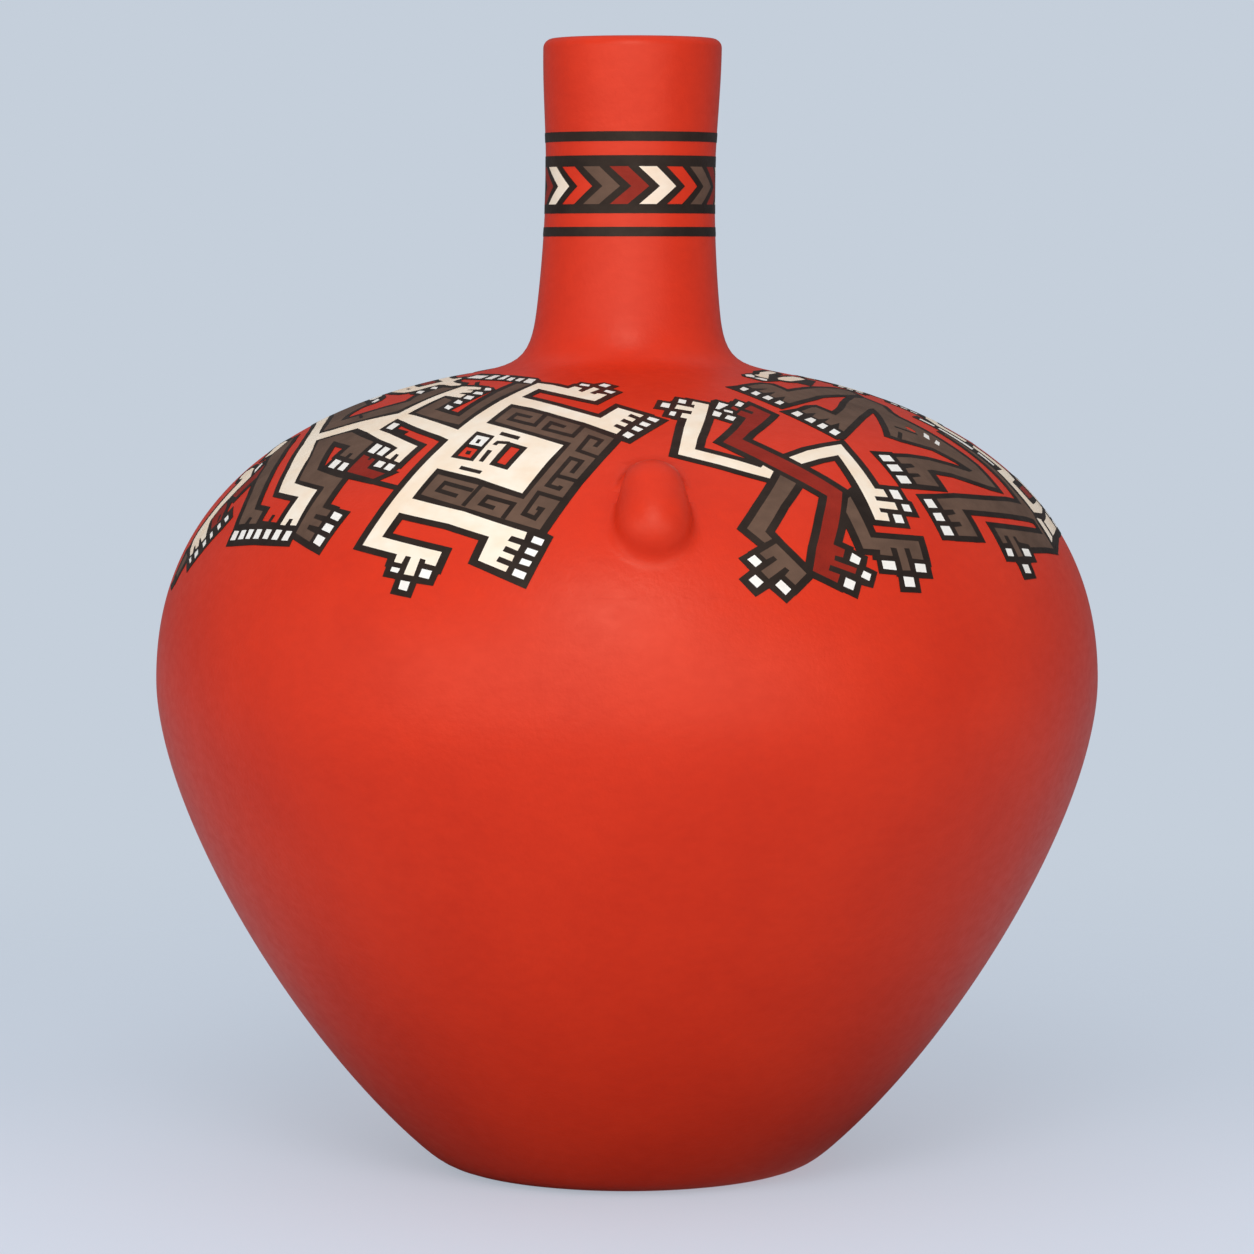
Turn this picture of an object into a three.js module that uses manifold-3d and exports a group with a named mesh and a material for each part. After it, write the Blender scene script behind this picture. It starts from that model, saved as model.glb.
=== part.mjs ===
// A narrow-necked earthenware bottle with a heart-shaped body and one lug on the shoulder.
// It is coil built: a base slab, wall courses, a flared collar, neck rings and a rounded lip,
// each luted to the last along a bevelled joint, and a lug keyed through the shoulder wall.
// Millimetres, +Z up. The origin is the centre of the flat foot, and the lug faces -Y.
import * as THREE from "three";
import { mergeVertices } from "three/addons/utils/BufferGeometryUtils.js";
import Module from "manifold-3d";

// Outer shape of the pot, from the foot up. Each rise is counted from the end of the last one.
const FOOT_RADIUS = 27;
const HEEL_RADIUS = 43.8;
const HEEL_RISE = 6.2;
const HEEL_ANGLE = 43; // degrees of the wall above the horizontal, where it leaves the heel
const BELLY_RADIUS = 93.8;
const BELLY_RISE = 91.8;
const SHOULDER_TOP_RADIUS = 37;
const SHOULDER_RISE = 59.3;
const SHOULDER_TOP_ANGLE = 12.5;
const NECK_ROOT_RADIUS = 18.3;
const COLLAR_RISE = 13.2;
const NECK_ROOT_ANGLE = 83.5;
const WAIST_RADIUS = 16.8;
const WAIST_RISE = 26.5;
const LIP_RADIUS = 17.7;
const LIP_RISE = 25.8; // to where the rounding of the lip begins
const NECK_LEAN = 1.1; // how far the hand-set neck has moved to +X at the lip

// How far each curve runs along its end tangents before it turns, in shares of its chord
const HEEL_PULL = [0.5, 0.5];
const LOWER_WALL_PULL = [0.33, 0.234];
const SHOULDER_PULL = [0.432, 0.378];
const COLLAR_PULL = [0.612, 0.502];
const NECK_PULL = [0.264, 0.339];
const LIP_PULL = [0.349, 0.349];

// Thickness of the clay, measured square to the outer face
const FOOT_THICKNESS = 7;
const WALL_THICKNESS = 5;
const NECK_THICKNESS = 4.2;
const LIP_ROUNDING = 1.9;

// Joints between the courses
const LOWER_COURSES = 5;
const SHOULDER_COURSES = 5;
const NECK_RINGS = 2;
const LIP_RING_LENGTH = 6; // of the outer face, below the rounding of the lip
const BEVEL = 3; // how much further up the wall a joint lies inside than outside
const LUTING_GAP = 0.35;

// The lug, seated on the outer face of the shoulder and keyed into one of its courses
const LUG_AZIMUTH = 3.2; // degrees from -Y towards +X
const LUG_COURSE = 3; // the first course is the one next to the belly
const LUG_DROP = 4; // how far it sits down the wall from the middle of that course
const LUG_TILT = 12; // degrees of its outward axis above the horizontal
const LUG_WIDTH = 13;
const LUG_LENGTH = 19;
const LUG_PROJECTION = 9;
const LUG_NARROWING = 0.08; // share of the width lost at the upper end, and gained at the lower
const LUG_ROOT_RISE = 2.2; // how thick the clay smoothed round its root is on the wall
const LUG_ROOT_SINK = 6; // how deep under the wall's face that low swelling is centred
const LUG_ROOT_SPREAD = 6; // how far it reaches past the knob at that depth, to each side
const LUG_ROOT_REACH = 8.5; // and up and down the wall
const TENON_RADIUS = 3;

// Fineness of the faceting
const AROUND = 60;
const STEPS = { heel: 4, lower: 2, shoulder: 3, collar: 6, neck: 3, lip: 2, rounding: 4 };
const SEAT_STEPS = 30;
const LUG_MERIDIANS = 24;
const LUG_PARALLELS = 16;
const TENON_SIDES = 20;
const SAME_POINT = 1e-4; // vertices closer than this are one

const RED_SLIP = { color: 0xc92f1c, roughness: 0.6, metalness: 0 };

const wasm = await Module();
wasm.setup();

const radians = THREE.MathUtils.degToRad;
const slope = (degrees) => new THREE.Vector2(-Math.cos(radians(degrees)), Math.sin(radians(degrees)));
const UP = new THREE.Vector2(0, 1);
const OUT = new THREE.Vector2(1, 0);

// A smooth curve that leaves one point along a tangent and arrives at the next along another
function sweep(from, leaving, to, arriving, [pull, push]) {
  const chord = from.distanceTo(to);
  return new THREE.CubicBezierCurve(
    from,
    from.clone().addScaledVector(leaving, pull * chord),
    to.clone().addScaledVector(arriving, -push * chord),
    to,
  );
}

const BELLY_HEIGHT = HEEL_RISE + BELLY_RISE;
const SHOULDER_TOP_HEIGHT = BELLY_HEIGHT + SHOULDER_RISE;
const NECK_ROOT_HEIGHT = SHOULDER_TOP_HEIGHT + COLLAR_RISE;
const WAIST_HEIGHT = NECK_ROOT_HEIGHT + WAIST_RISE;
const LIP_HEIGHT = WAIST_HEIGHT + LIP_RISE;

// The outer face in section: radius as x and height as y, from the foot's edge to the lip
function outerFace() {
  const foot = new THREE.Vector2(FOOT_RADIUS, 0);
  const heel = new THREE.Vector2(HEEL_RADIUS, HEEL_RISE);
  const belly = new THREE.Vector2(BELLY_RADIUS, BELLY_HEIGHT);
  const shoulder = new THREE.Vector2(SHOULDER_TOP_RADIUS, SHOULDER_TOP_HEIGHT);
  const root = new THREE.Vector2(NECK_ROOT_RADIUS, NECK_ROOT_HEIGHT);
  const waist = new THREE.Vector2(WAIST_RADIUS, WAIST_HEIGHT);
  const lip = new THREE.Vector2(LIP_RADIUS, LIP_HEIGHT);
  const heelWay = slope(180 - HEEL_ANGLE);
  const shoulderWay = slope(SHOULDER_TOP_ANGLE);
  const rootWay = slope(NECK_ROOT_ANGLE);

  const path = new THREE.CurvePath();
  path.curves.push(
    sweep(foot, OUT, heel, heelWay, HEEL_PULL),
    sweep(heel, heelWay, belly, UP, LOWER_WALL_PULL),
    sweep(belly, UP, shoulder, shoulderWay, SHOULDER_PULL),
    sweep(shoulder, shoulderWay, root, rootWay, COLLAR_PULL),
    sweep(root, rootWay, waist, UP, NECK_PULL),
    sweep(waist, UP, lip, UP, LIP_PULL),
  );
  return path;
}

const face = outerFace();
const AT_LIP = face.getLength();
const [AT_HEEL, AT_BELLY, AT_SHOULDER, AT_ROOT] = face.getCurveLengths();
const AT_NECK_TOP = AT_LIP - LIP_RING_LENGTH;

// A point of the outer face, and the way out of the clay there, at a distance along the face
function onFace(distance) {
  const share = THREE.MathUtils.clamp(distance / AT_LIP, 0, 1);
  const along = face.getTangent(share);
  return { point: face.getPoint(share), along, outward: new THREE.Vector2(along.y, -along.x) };
}

// A size that changes evenly from one value to another between two distances along the face
function taper(distance, from, to, start, end) {
  const share = THREE.MathUtils.clamp((distance - start) / (end - start), 0, 1);
  return THREE.MathUtils.lerp(from, to, share);
}

function thicknessAt(distance) {
  if (distance < AT_HEEL) return taper(distance, FOOT_THICKNESS, WALL_THICKNESS, 0, AT_HEEL);
  return taper(distance, WALL_THICKNESS, NECK_THICKNESS, AT_SHOULDER, AT_ROOT);
}

const outside = (distance) => onFace(distance).point;
function inside(distance) {
  const { point, outward } = onFace(distance);
  return point.clone().addScaledVector(outward, -thicknessAt(distance));
}

// Points of a face, outer or inner, at even distances from one end to the other
function stretch(side, from, to, steps) {
  return Array.from({ length: steps + 1 }, (_, i) => side(THREE.MathUtils.lerp(from, to, i / steps)));
}

// How far the neck's centre has moved at a height: nothing below the collar, then evenly up to the lip
function leanAt(height) {
  return NECK_LEAN * Math.max(0, (height - SHOULDER_TOP_HEIGHT) / (LIP_HEIGHT - SHOULDER_TOP_HEIGHT));
}

// A section turned about the Z axis and moved with the neck's lean
function turned(section) {
  const geometry = new THREE.LatheGeometry(section, AROUND).rotateX(Math.PI / 2);
  const position = geometry.getAttribute("position");
  for (let i = 0; i < position.count; i++) {
    position.setX(i, position.getX(i) + leanAt(position.getZ(i)));
  }
  return geometry;
}

// A course of the wall between two joints. Each joint slants, with half the luting gap
// on either side of it.
function course(from, to, steps) {
  const low = from + LUTING_GAP / 2;
  const high = to - LUTING_GAP / 2;
  const outer = stretch(outside, low, high, steps);
  const inner = stretch(inside, high + BEVEL, low + BEVEL, steps);
  return turned([...outer, ...inner, outer[0].clone()]);
}

function baseSlab() {
  const end = AT_HEEL - LUTING_GAP / 2;
  const outer = stretch(outside, 0, end, STEPS.heel);
  const inner = stretch(inside, end + BEVEL, 0, STEPS.heel);
  return turned([new THREE.Vector2(0, 0), ...outer, ...inner, new THREE.Vector2(0, FOOT_THICKNESS)]);
}

// The last ring of the neck, closed by a lip that is rounded outside and inside
function rimLip(from) {
  const low = from + LUTING_GAP / 2;
  const outer = stretch(outside, low, AT_LIP, STEPS.lip);
  const inner = stretch(inside, AT_LIP, low + BEVEL, STEPS.lip);
  const turn = (centreX, start) =>
    Array.from({ length: STEPS.rounding }, (_, i) => {
      const angle = start + ((i + 1) / (STEPS.rounding + 1)) * (Math.PI / 2);
      return new THREE.Vector2(centreX, LIP_HEIGHT).add(
        new THREE.Vector2(Math.cos(angle), Math.sin(angle)).multiplyScalar(LIP_ROUNDING),
      );
    });
  const outerCentre = LIP_RADIUS - LIP_ROUNDING;
  const innerCentre = LIP_RADIUS - NECK_THICKNESS + LIP_ROUNDING;
  const crown = [
    ...turn(outerCentre, 0),
    new THREE.Vector2(outerCentre, LIP_HEIGHT + LIP_ROUNDING),
    new THREE.Vector2(innerCentre, LIP_HEIGHT + LIP_ROUNDING),
    ...turn(innerCentre, Math.PI / 2),
  ];
  return turned([...outer, ...crown, ...inner, outer[0].clone()]);
}

// Between a three.js geometry and a manifold-3d solid
function solidOf(geometry) {
  const bare = geometry.clone();
  bare.deleteAttribute("normal");
  bare.deleteAttribute("uv");
  const merged = mergeVertices(bare, SAME_POINT);
  return new wasm.Manifold(
    new wasm.Mesh({
      numProp: 3,
      vertProperties: merged.getAttribute("position").array,
      triVerts: new Uint32Array(merged.index.array),
    }),
  );
}

function geometryOf(solid) {
  const mesh = solid.getMesh();
  const geometry = new THREE.BufferGeometry();
  geometry.setAttribute("position", new THREE.BufferAttribute(mesh.vertProperties, 3));
  geometry.setIndex(new THREE.BufferAttribute(mesh.triVerts, 1));
  geometry.computeVertexNormals();
  return geometry;
}

// The lug's seat on the wall
const lugShare = (LUG_COURSE - 0.5) / SHOULDER_COURSES;
const lugSeat = onFace(THREE.MathUtils.lerp(AT_BELLY, AT_SHOULDER, lugShare) - LUG_DROP);

// Axes at the lug's seat: x across, y up, and z along a way out given in the section
function seatFrame(outward) {
  const azimuth = radians(LUG_AZIMUTH);
  const radial = new THREE.Vector3(Math.sin(azimuth), -Math.cos(azimuth), 0);
  const across = new THREE.Vector3(Math.cos(azimuth), Math.sin(azimuth), 0);
  const inSection = (v) => radial.clone().multiplyScalar(v.x).setZ(v.y);
  const upward = new THREE.Vector2(-outward.y, outward.x);
  const axes = new THREE.Matrix4().makeBasis(across, inSection(upward), inSection(outward));
  return axes.setPosition(inSection(lugSeat.point));
}

// A ball on the seat, drawn to a width, a length and a height above the seat, narrower above
// than below, and centred at a depth under the seat
function mound(outward, width, length, height, sink = 0) {
  const ball = new THREE.SphereGeometry(1, LUG_MERIDIANS, LUG_PARALLELS);
  const position = ball.getAttribute("position");
  for (let i = 0; i < position.count; i++) {
    const [x, y, z] = [position.getX(i), position.getY(i), position.getZ(i)];
    const share = 1 - LUG_NARROWING * y;
    position.setXYZ(i, (x * width * share) / 2, (y * length) / 2, z * (height + sink) - sink);
  }
  return solidOf(ball.applyMatrix4(seatFrame(outward)));
}

// A peg square to the wall at the lug's seat, from below the wall's face to above it
function peg(radius, below, above) {
  const cylinder = new THREE.CylinderGeometry(radius, radius, above + below, TENON_SIDES)
    .rotateX(Math.PI / 2)
    .translate(0, 0, (above - below) / 2);
  return solidOf(cylinder.applyMatrix4(seatFrame(lugSeat.outward)));
}

// The pot's own bulk at the shoulder, larger by the luting gap, which the lug is seated on
function shoulderBulk() {
  const clearance = new THREE.Vector2(LUTING_GAP, LUTING_GAP);
  const seat = stretch(outside, AT_BELLY, AT_SHOULDER, SEAT_STEPS).map((p) => p.clone().add(clearance));
  const onAxis = (point) => new THREE.Vector2(0, point.y);
  return solidOf(turned([onAxis(seat[0]), ...seat, onAxis(seat[SEAT_STEPS])]));
}

// A thumb-shaped knob with clay smoothed round its root, and a tenon that keys it into the wall
function shoulderLug() {
  const knob = mound(slope(180 - LUG_TILT), LUG_WIDTH, LUG_LENGTH, LUG_PROJECTION);
  const root = mound(
    lugSeat.outward,
    LUG_WIDTH + 2 * LUG_ROOT_SPREAD,
    LUG_LENGTH + 2 * LUG_ROOT_REACH,
    LUG_ROOT_RISE,
    LUG_ROOT_SINK,
  );
  const tenon = peg(TENON_RADIUS, WALL_THICKNESS, LUG_ROOT_RISE);
  return geometryOf(knob.add(root).subtract(shoulderBulk()).add(tenon));
}

// Cuts the tenon's hole through a course of the wall
function mortised(geometry) {
  const hole = peg(TENON_RADIUS + LUTING_GAP, WALL_THICKNESS + TENON_RADIUS, LUG_ROOT_RISE);
  return geometryOf(solidOf(geometry).subtract(hole));
}

const bottle = new THREE.Group();

function add(name, geometry) {
  const mesh = new THREE.Mesh(geometry, new THREE.MeshStandardMaterial(RED_SLIP));
  mesh.name = name;
  bottle.add(mesh);
}

// Equal courses of the wall between two places on its face
function addCourses(name, from, to, count, steps, finish = (geometry) => geometry) {
  for (let i = 0; i < count; i++) {
    const low = THREE.MathUtils.lerp(from, to, i / count);
    const high = THREE.MathUtils.lerp(from, to, (i + 1) / count);
    add(`${name}_${i + 1}`, finish(course(low, high, steps)));
  }
}

add("base_slab", baseSlab());
addCourses("lower_wall", AT_HEEL, AT_BELLY, LOWER_COURSES, STEPS.lower);
addCourses("shoulder_wall", AT_BELLY, AT_SHOULDER, SHOULDER_COURSES, STEPS.shoulder, mortised);
add("neck_collar", course(AT_SHOULDER, AT_ROOT, STEPS.collar));
addCourses("neck_ring", AT_ROOT, AT_NECK_TOP, NECK_RINGS, STEPS.neck);
add("rim_lip", rimLip(AT_NECK_TOP));
add("shoulder_lug", shoulderLug());

export default bottle;
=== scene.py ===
"""A narrow-necked, coil-built earthenware bottle: red slip burnished to a satin, with a frieze
of climbing animals painted on the shoulder, a band of chevrons on the neck and one small lug.

Sizes are in millimetres and are turned to metres where a mesh is made. A place on the outer
face is given by its azimuth, in degrees from -Y towards +X, and by how far up the wall it is
from the widest point of the belly.
"""

import math

import bpy
import numpy as np
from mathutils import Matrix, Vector
from mathutils.geometry import delaunay_2d_cdt


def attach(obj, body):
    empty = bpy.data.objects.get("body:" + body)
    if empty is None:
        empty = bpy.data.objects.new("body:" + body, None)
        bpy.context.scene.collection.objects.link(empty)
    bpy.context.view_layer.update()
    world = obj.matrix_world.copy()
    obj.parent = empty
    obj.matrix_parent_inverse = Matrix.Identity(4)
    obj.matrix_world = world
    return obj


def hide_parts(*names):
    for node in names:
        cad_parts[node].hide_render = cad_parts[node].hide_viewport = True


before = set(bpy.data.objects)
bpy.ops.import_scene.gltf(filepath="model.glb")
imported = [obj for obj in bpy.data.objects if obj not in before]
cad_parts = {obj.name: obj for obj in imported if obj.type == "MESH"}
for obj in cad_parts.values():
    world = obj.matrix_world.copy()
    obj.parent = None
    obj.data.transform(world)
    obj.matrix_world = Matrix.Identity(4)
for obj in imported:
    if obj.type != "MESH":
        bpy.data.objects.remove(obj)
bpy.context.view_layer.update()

MM = 0.001

# The section of the pot: radius, height, and the way the wall runs, in degrees from level,
# at the foot, the heel, the belly, the top of the shoulder, the neck's root, its waist and the lip
STATIONS = [
    (27.0, 0.0, 0.0),
    (43.8, 6.2, 43.0),
    (93.8, 98.0, 90.0),
    (37.0, 157.3, 167.5),
    (18.3, 170.5, 96.5),
    (16.8, 197.0, 90.0),
    (17.7, 222.8, 90.0),
]
# How far each curve runs along its end tangents before it turns, in shares of its chord
PULLS = [(0.5, 0.5), (0.33, 0.234), (0.432, 0.378), (0.612, 0.502), (0.264, 0.339), (0.349, 0.349)]

FOOT_THICKNESS = 7
WALL_THICKNESS = 5
NECK_THICKNESS = 4.2
LIP_ROUNDING = 1.9
NECK_LEAN = 1.1
BEVEL = 3  # how much further up the wall a joint lies inside than outside
LOWER_COURSES = 5
SHOULDER_COURSES = 5
NECK_RINGS = 2
LIP_RING_LENGTH = 6
SHOULDER_TOP, LIP_FOOT = STATIONS[3][1], STATIONS[6][1]  # the heights between which the neck leans
UNDER_RINGS, BED_RINGS = (0, 6, 12, 18, 23), (20, 10, 0)  # radii under the foot, and on the floor inside

AROUND = 240  # steps round the pot
OUTER_STEP = 1.4
INNER_STEP = 4.0
LIP_STEPS = 8
CURVE_POINTS = 600
EVEN_WITHIN = 0.3  # mm off the true face that still counts as on it
SAME_WAY = 0.9  # the least cosine to the true way out at which a corner is given it
JUST_OVER = 0.01  # mm
SHARP_WALL, SHARP_LUG = math.radians(35), math.radians(50)
RING_MERGE, PAINT_MERGE = 1e-6, 2e-6  # metres within which two points are one


def curve_between(start, end, pulls):
    """Points of the smooth curve between two stations of the section."""
    a, b = np.array(start[:2]), np.array(end[:2])
    turns = [math.radians(station[2]) for station in (start, end)]
    way_a, way_b = (np.array([math.cos(turn), math.sin(turn)]) for turn in turns)
    chord = np.linalg.norm(b - a)
    t = np.linspace(0, 1, CURVE_POINTS)[:, None]
    leave, arrive = a + way_a * pulls[0] * chord, b - way_b * pulls[1] * chord
    return (1 - t) ** 3 * a + 3 * (1 - t) ** 2 * t * leave + 3 * (1 - t) * t**2 * arrive + t**3 * b


curves = [curve_between(a, b, pulls) for a, b, pulls in zip(STATIONS, STATIONS[1:], PULLS)]
face = np.vstack([curves[0]] + [c[1:] for c in curves[1:]])
FACE_RADIUS, FACE_HEIGHT = face.T
face_steps = np.hypot(*np.diff(face, axis=0).T)
ends = np.cumsum([np.hypot(*np.diff(c, axis=0).T).sum() for c in curves])
FACE_UP = np.concatenate([[0], np.cumsum(face_steps)]) - ends[1]
AT_FOOT = -ends[1]
AT_HEEL, AT_BELLY, AT_SHOULDER, AT_ROOT, _, AT_LIP = ends - ends[1]
AT_NECK_TOP = AT_LIP - LIP_RING_LENGTH
FACE_ALONG = np.gradient(face, FACE_UP, axis=0)
FACE_ALONG /= np.linalg.norm(FACE_ALONG, axis=1)[:, None]


def section_at(up):
    """Radius, height and the way out of the clay (radial, upward) on the outer face."""
    radius, height = (np.interp(up, FACE_UP, c) for c in (FACE_RADIUS, FACE_HEIGHT))
    along = [np.interp(up, FACE_UP, c) for c in FACE_ALONG.T]
    return radius, height, along[1], -along[0]


def lean_at(height):
    """How far the hand-set neck has moved to +X at a height."""
    return NECK_LEAN * np.maximum(0, (np.asarray(height) - SHOULDER_TOP) / (LIP_FOOT - SHOULDER_TOP))


def on_wall(azimuth, up, proud=0.0):
    """Points on the outer face, or a little proud of it."""
    radius, height, out_r, out_z = section_at(up)
    turn = np.radians(azimuth)
    radius, height = radius + proud * out_r, height + proud * out_z
    return np.stack([radius * np.sin(turn) + lean_at(height), -radius * np.cos(turn), height], -1)


def out_of_wall(points):
    """The way out of the clay at points on or close to the outer face."""
    up = np.interp(points[:, 2], FACE_HEIGHT, FACE_UP)
    out_r, out_z = section_at(up)[2:]
    turn = np.arctan2(points[:, 0] - lean_at(points[:, 2]), -points[:, 1])
    way = np.stack([out_r * np.sin(turn), -out_r * np.cos(turn), out_z], -1)
    way[:, 2] -= np.where(points[:, 2] > SHOULDER_TOP, NECK_LEAN / (LIP_FOOT - SHOULDER_TOP), 0) * way[:, 0]
    return way / np.linalg.norm(way, axis=1)[:, None]


def thickness_at(up):
    """Thickness of the clay, square to its outer face."""
    if up < AT_HEEL:
        return np.interp(up, [AT_FOOT, AT_HEEL], [FOOT_THICKNESS, WALL_THICKNESS])
    return np.interp(up, [AT_SHOULDER, AT_ROOT], [WALL_THICKNESS, NECK_THICKNESS])


def outside(up):
    radius, height, _, _ = section_at(up)
    return float(radius), float(height)


def inside(up):
    radius, height, out_r, out_z = section_at(up)
    deep = thickness_at(up)
    return float(radius - deep * out_r), float(height - deep * out_z)


def stretch(side, start, end, step):
    """Points of one face of the wall, at even steps."""
    count = max(1, round(abs(end - start) / step))
    return [side(up) for up in np.linspace(start, end, count + 1)]


# Putting pieces into the scene


def deselect_all():
    if bpy.context.mode != "OBJECT":
        object_mode()
    bpy.ops.object.select_all(action="DESELECT")


def edit_all():
    """Edit mode, with everything in the active piece selected."""
    bpy.ops.object.mode_set(mode="EDIT")
    bpy.ops.mesh.select_all(action="SELECT")


def object_mode():
    bpy.ops.object.mode_set(mode="OBJECT")


def set_places(piece, points):
    piece.data.vertices.foreach_set("co", np.asarray(points, np.float32).ravel() * MM)
    piece.data.update()


def read(parts, name, kind, width):
    found = np.empty(len(parts) * width, kind)
    parts.foreach_get(name, found)
    return found.reshape(-1, width)


def places(piece):
    return read(piece.data.vertices, "co", np.float32, 3).astype(float) / MM


def corners_of(mesh):
    """The vertex at each corner of each face, and the face that has it."""
    sides = read(mesh.polygons, "loop_total", np.int32, 1)[:, 0]
    return read(mesh.loops, "vertex_index", np.int32, 1)[:, 0], np.repeat(np.arange(len(sides)), sides)


def hold_normals(mesh, way, good, corners, owner):
    """Gives a face whose corners are all good the true way out at its corners."""
    whole = np.bincount(owner, weights=~good) == 0
    mesh.normals_split_custom_set(np.where(whole[owner][:, None], way[corners], 0.0).tolist())


def shade_as_wall(piece):
    """Smooth shading that takes its normals from the true face, so that no joint shows."""
    bpy.ops.object.shade_smooth_by_angle(angle=SHARP_WALL)
    points = places(piece)
    way = out_of_wall(points)
    radius = np.hypot(points[:, 0] - lean_at(points[:, 2]), points[:, 1])
    on_face = np.abs(radius - np.interp(points[:, 2], FACE_HEIGHT, FACE_RADIUS)) < EVEN_WITHIN
    on_face &= points[:, 2] <= LIP_FOOT + JUST_OVER
    corners, owner = corners_of(piece.data)
    facing = read(piece.data.polygons, "normal", np.float32, 3)[owner]
    good = on_face[corners] & ((facing * way[corners]).sum(1) > SAME_WAY)
    hold_normals(piece.data, way, good, corners, owner)


def turned_ring(name, section, closed=True):
    """A section turned once round the axis, and moved with the neck's lean."""
    deselect_all()
    bpy.ops.mesh.primitive_circle_add(vertices=len(section), radius=1, fill_type="NOTHING")
    ring = bpy.context.object
    ring.name = ring.data.name = name
    set_places(ring, [(0, -radius, height) for radius, height in section])
    if not closed:
        # The edge along the axis would only be spun into itself
        bpy.context.tool_settings.mesh_select_mode = (False, True, False)
        for part in [*ring.data.vertices, *ring.data.edges]:
            part.select = False
        for edge in ring.data.edges:
            edge.select = all(abs(ring.data.vertices[v].co.y) < 1e-7 for v in edge.vertices)
        bpy.ops.object.mode_set(mode="EDIT")
        bpy.ops.mesh.delete(type="EDGE")
        object_mode()
    bpy.context.tool_settings.mesh_select_mode = (True, False, False)
    edit_all()
    bpy.ops.mesh.spin(steps=AROUND, angle=2 * math.pi, center=(0, 0, 0), axis=(0, 0, 1))
    bpy.ops.mesh.select_all(action="SELECT")
    bpy.ops.mesh.remove_doubles(threshold=RING_MERGE)
    bpy.ops.mesh.normals_make_consistent(inside=False)
    object_mode()
    points = places(ring)
    points[:, 0] += lean_at(points[:, 2])
    set_places(ring, points)
    shade_as_wall(ring)
    return ring


def course(name, low, high):
    """A ring of the wall between two slanted joints."""
    outer = stretch(outside, low, high, OUTER_STEP)
    inner = stretch(inside, high + BEVEL, low + BEVEL, INNER_STEP)
    return turned_ring(name, outer + inner)


def base_slab():
    """The foot and the heel, flat underneath."""
    outer = stretch(outside, AT_FOOT, AT_HEEL, OUTER_STEP)
    inner = stretch(inside, AT_HEEL + BEVEL, AT_FOOT, INNER_STEP)
    under = [(radius, 0.0) for radius in UNDER_RINGS]
    bed = [(radius, float(FOOT_THICKNESS)) for radius in BED_RINGS]
    return turned_ring("base_slab_clay", under + outer + inner + bed, closed=False)


def rim_lip():
    """The last ring of the neck, with a lip rounded outside and inside."""
    radius, height, _ = STATIONS[6]
    outer = stretch(outside, AT_NECK_TOP, AT_LIP, OUTER_STEP)[:-1]
    inner = stretch(inside, AT_LIP, AT_NECK_TOP + BEVEL, INNER_STEP)[1:]
    quarter = np.linspace(0, math.pi / 2, LIP_STEPS + 1)
    crown = []
    for centre, start in ((radius - LIP_ROUNDING, 0), (radius - NECK_THICKNESS + LIP_ROUNDING, math.pi / 2)):
        for turn in quarter + start:
            x, y = LIP_ROUNDING * math.cos(turn), LIP_ROUNDING * math.sin(turn)
            crown.append((centre + x, height + y))
    return turned_ring("rim_lip_clay", outer + crown + inner)


# The painted frieze. The corners of a shape are given by azimuth and mm up the wall, by turns.
# Every filled shape gets a black outline of its own; claws and eyes lie on black grounds.
CREAM, BROWN, MAROON, WHITE, RED, BLACK = "cream", "brown", "maroon", "white", "red", "black"

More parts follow.
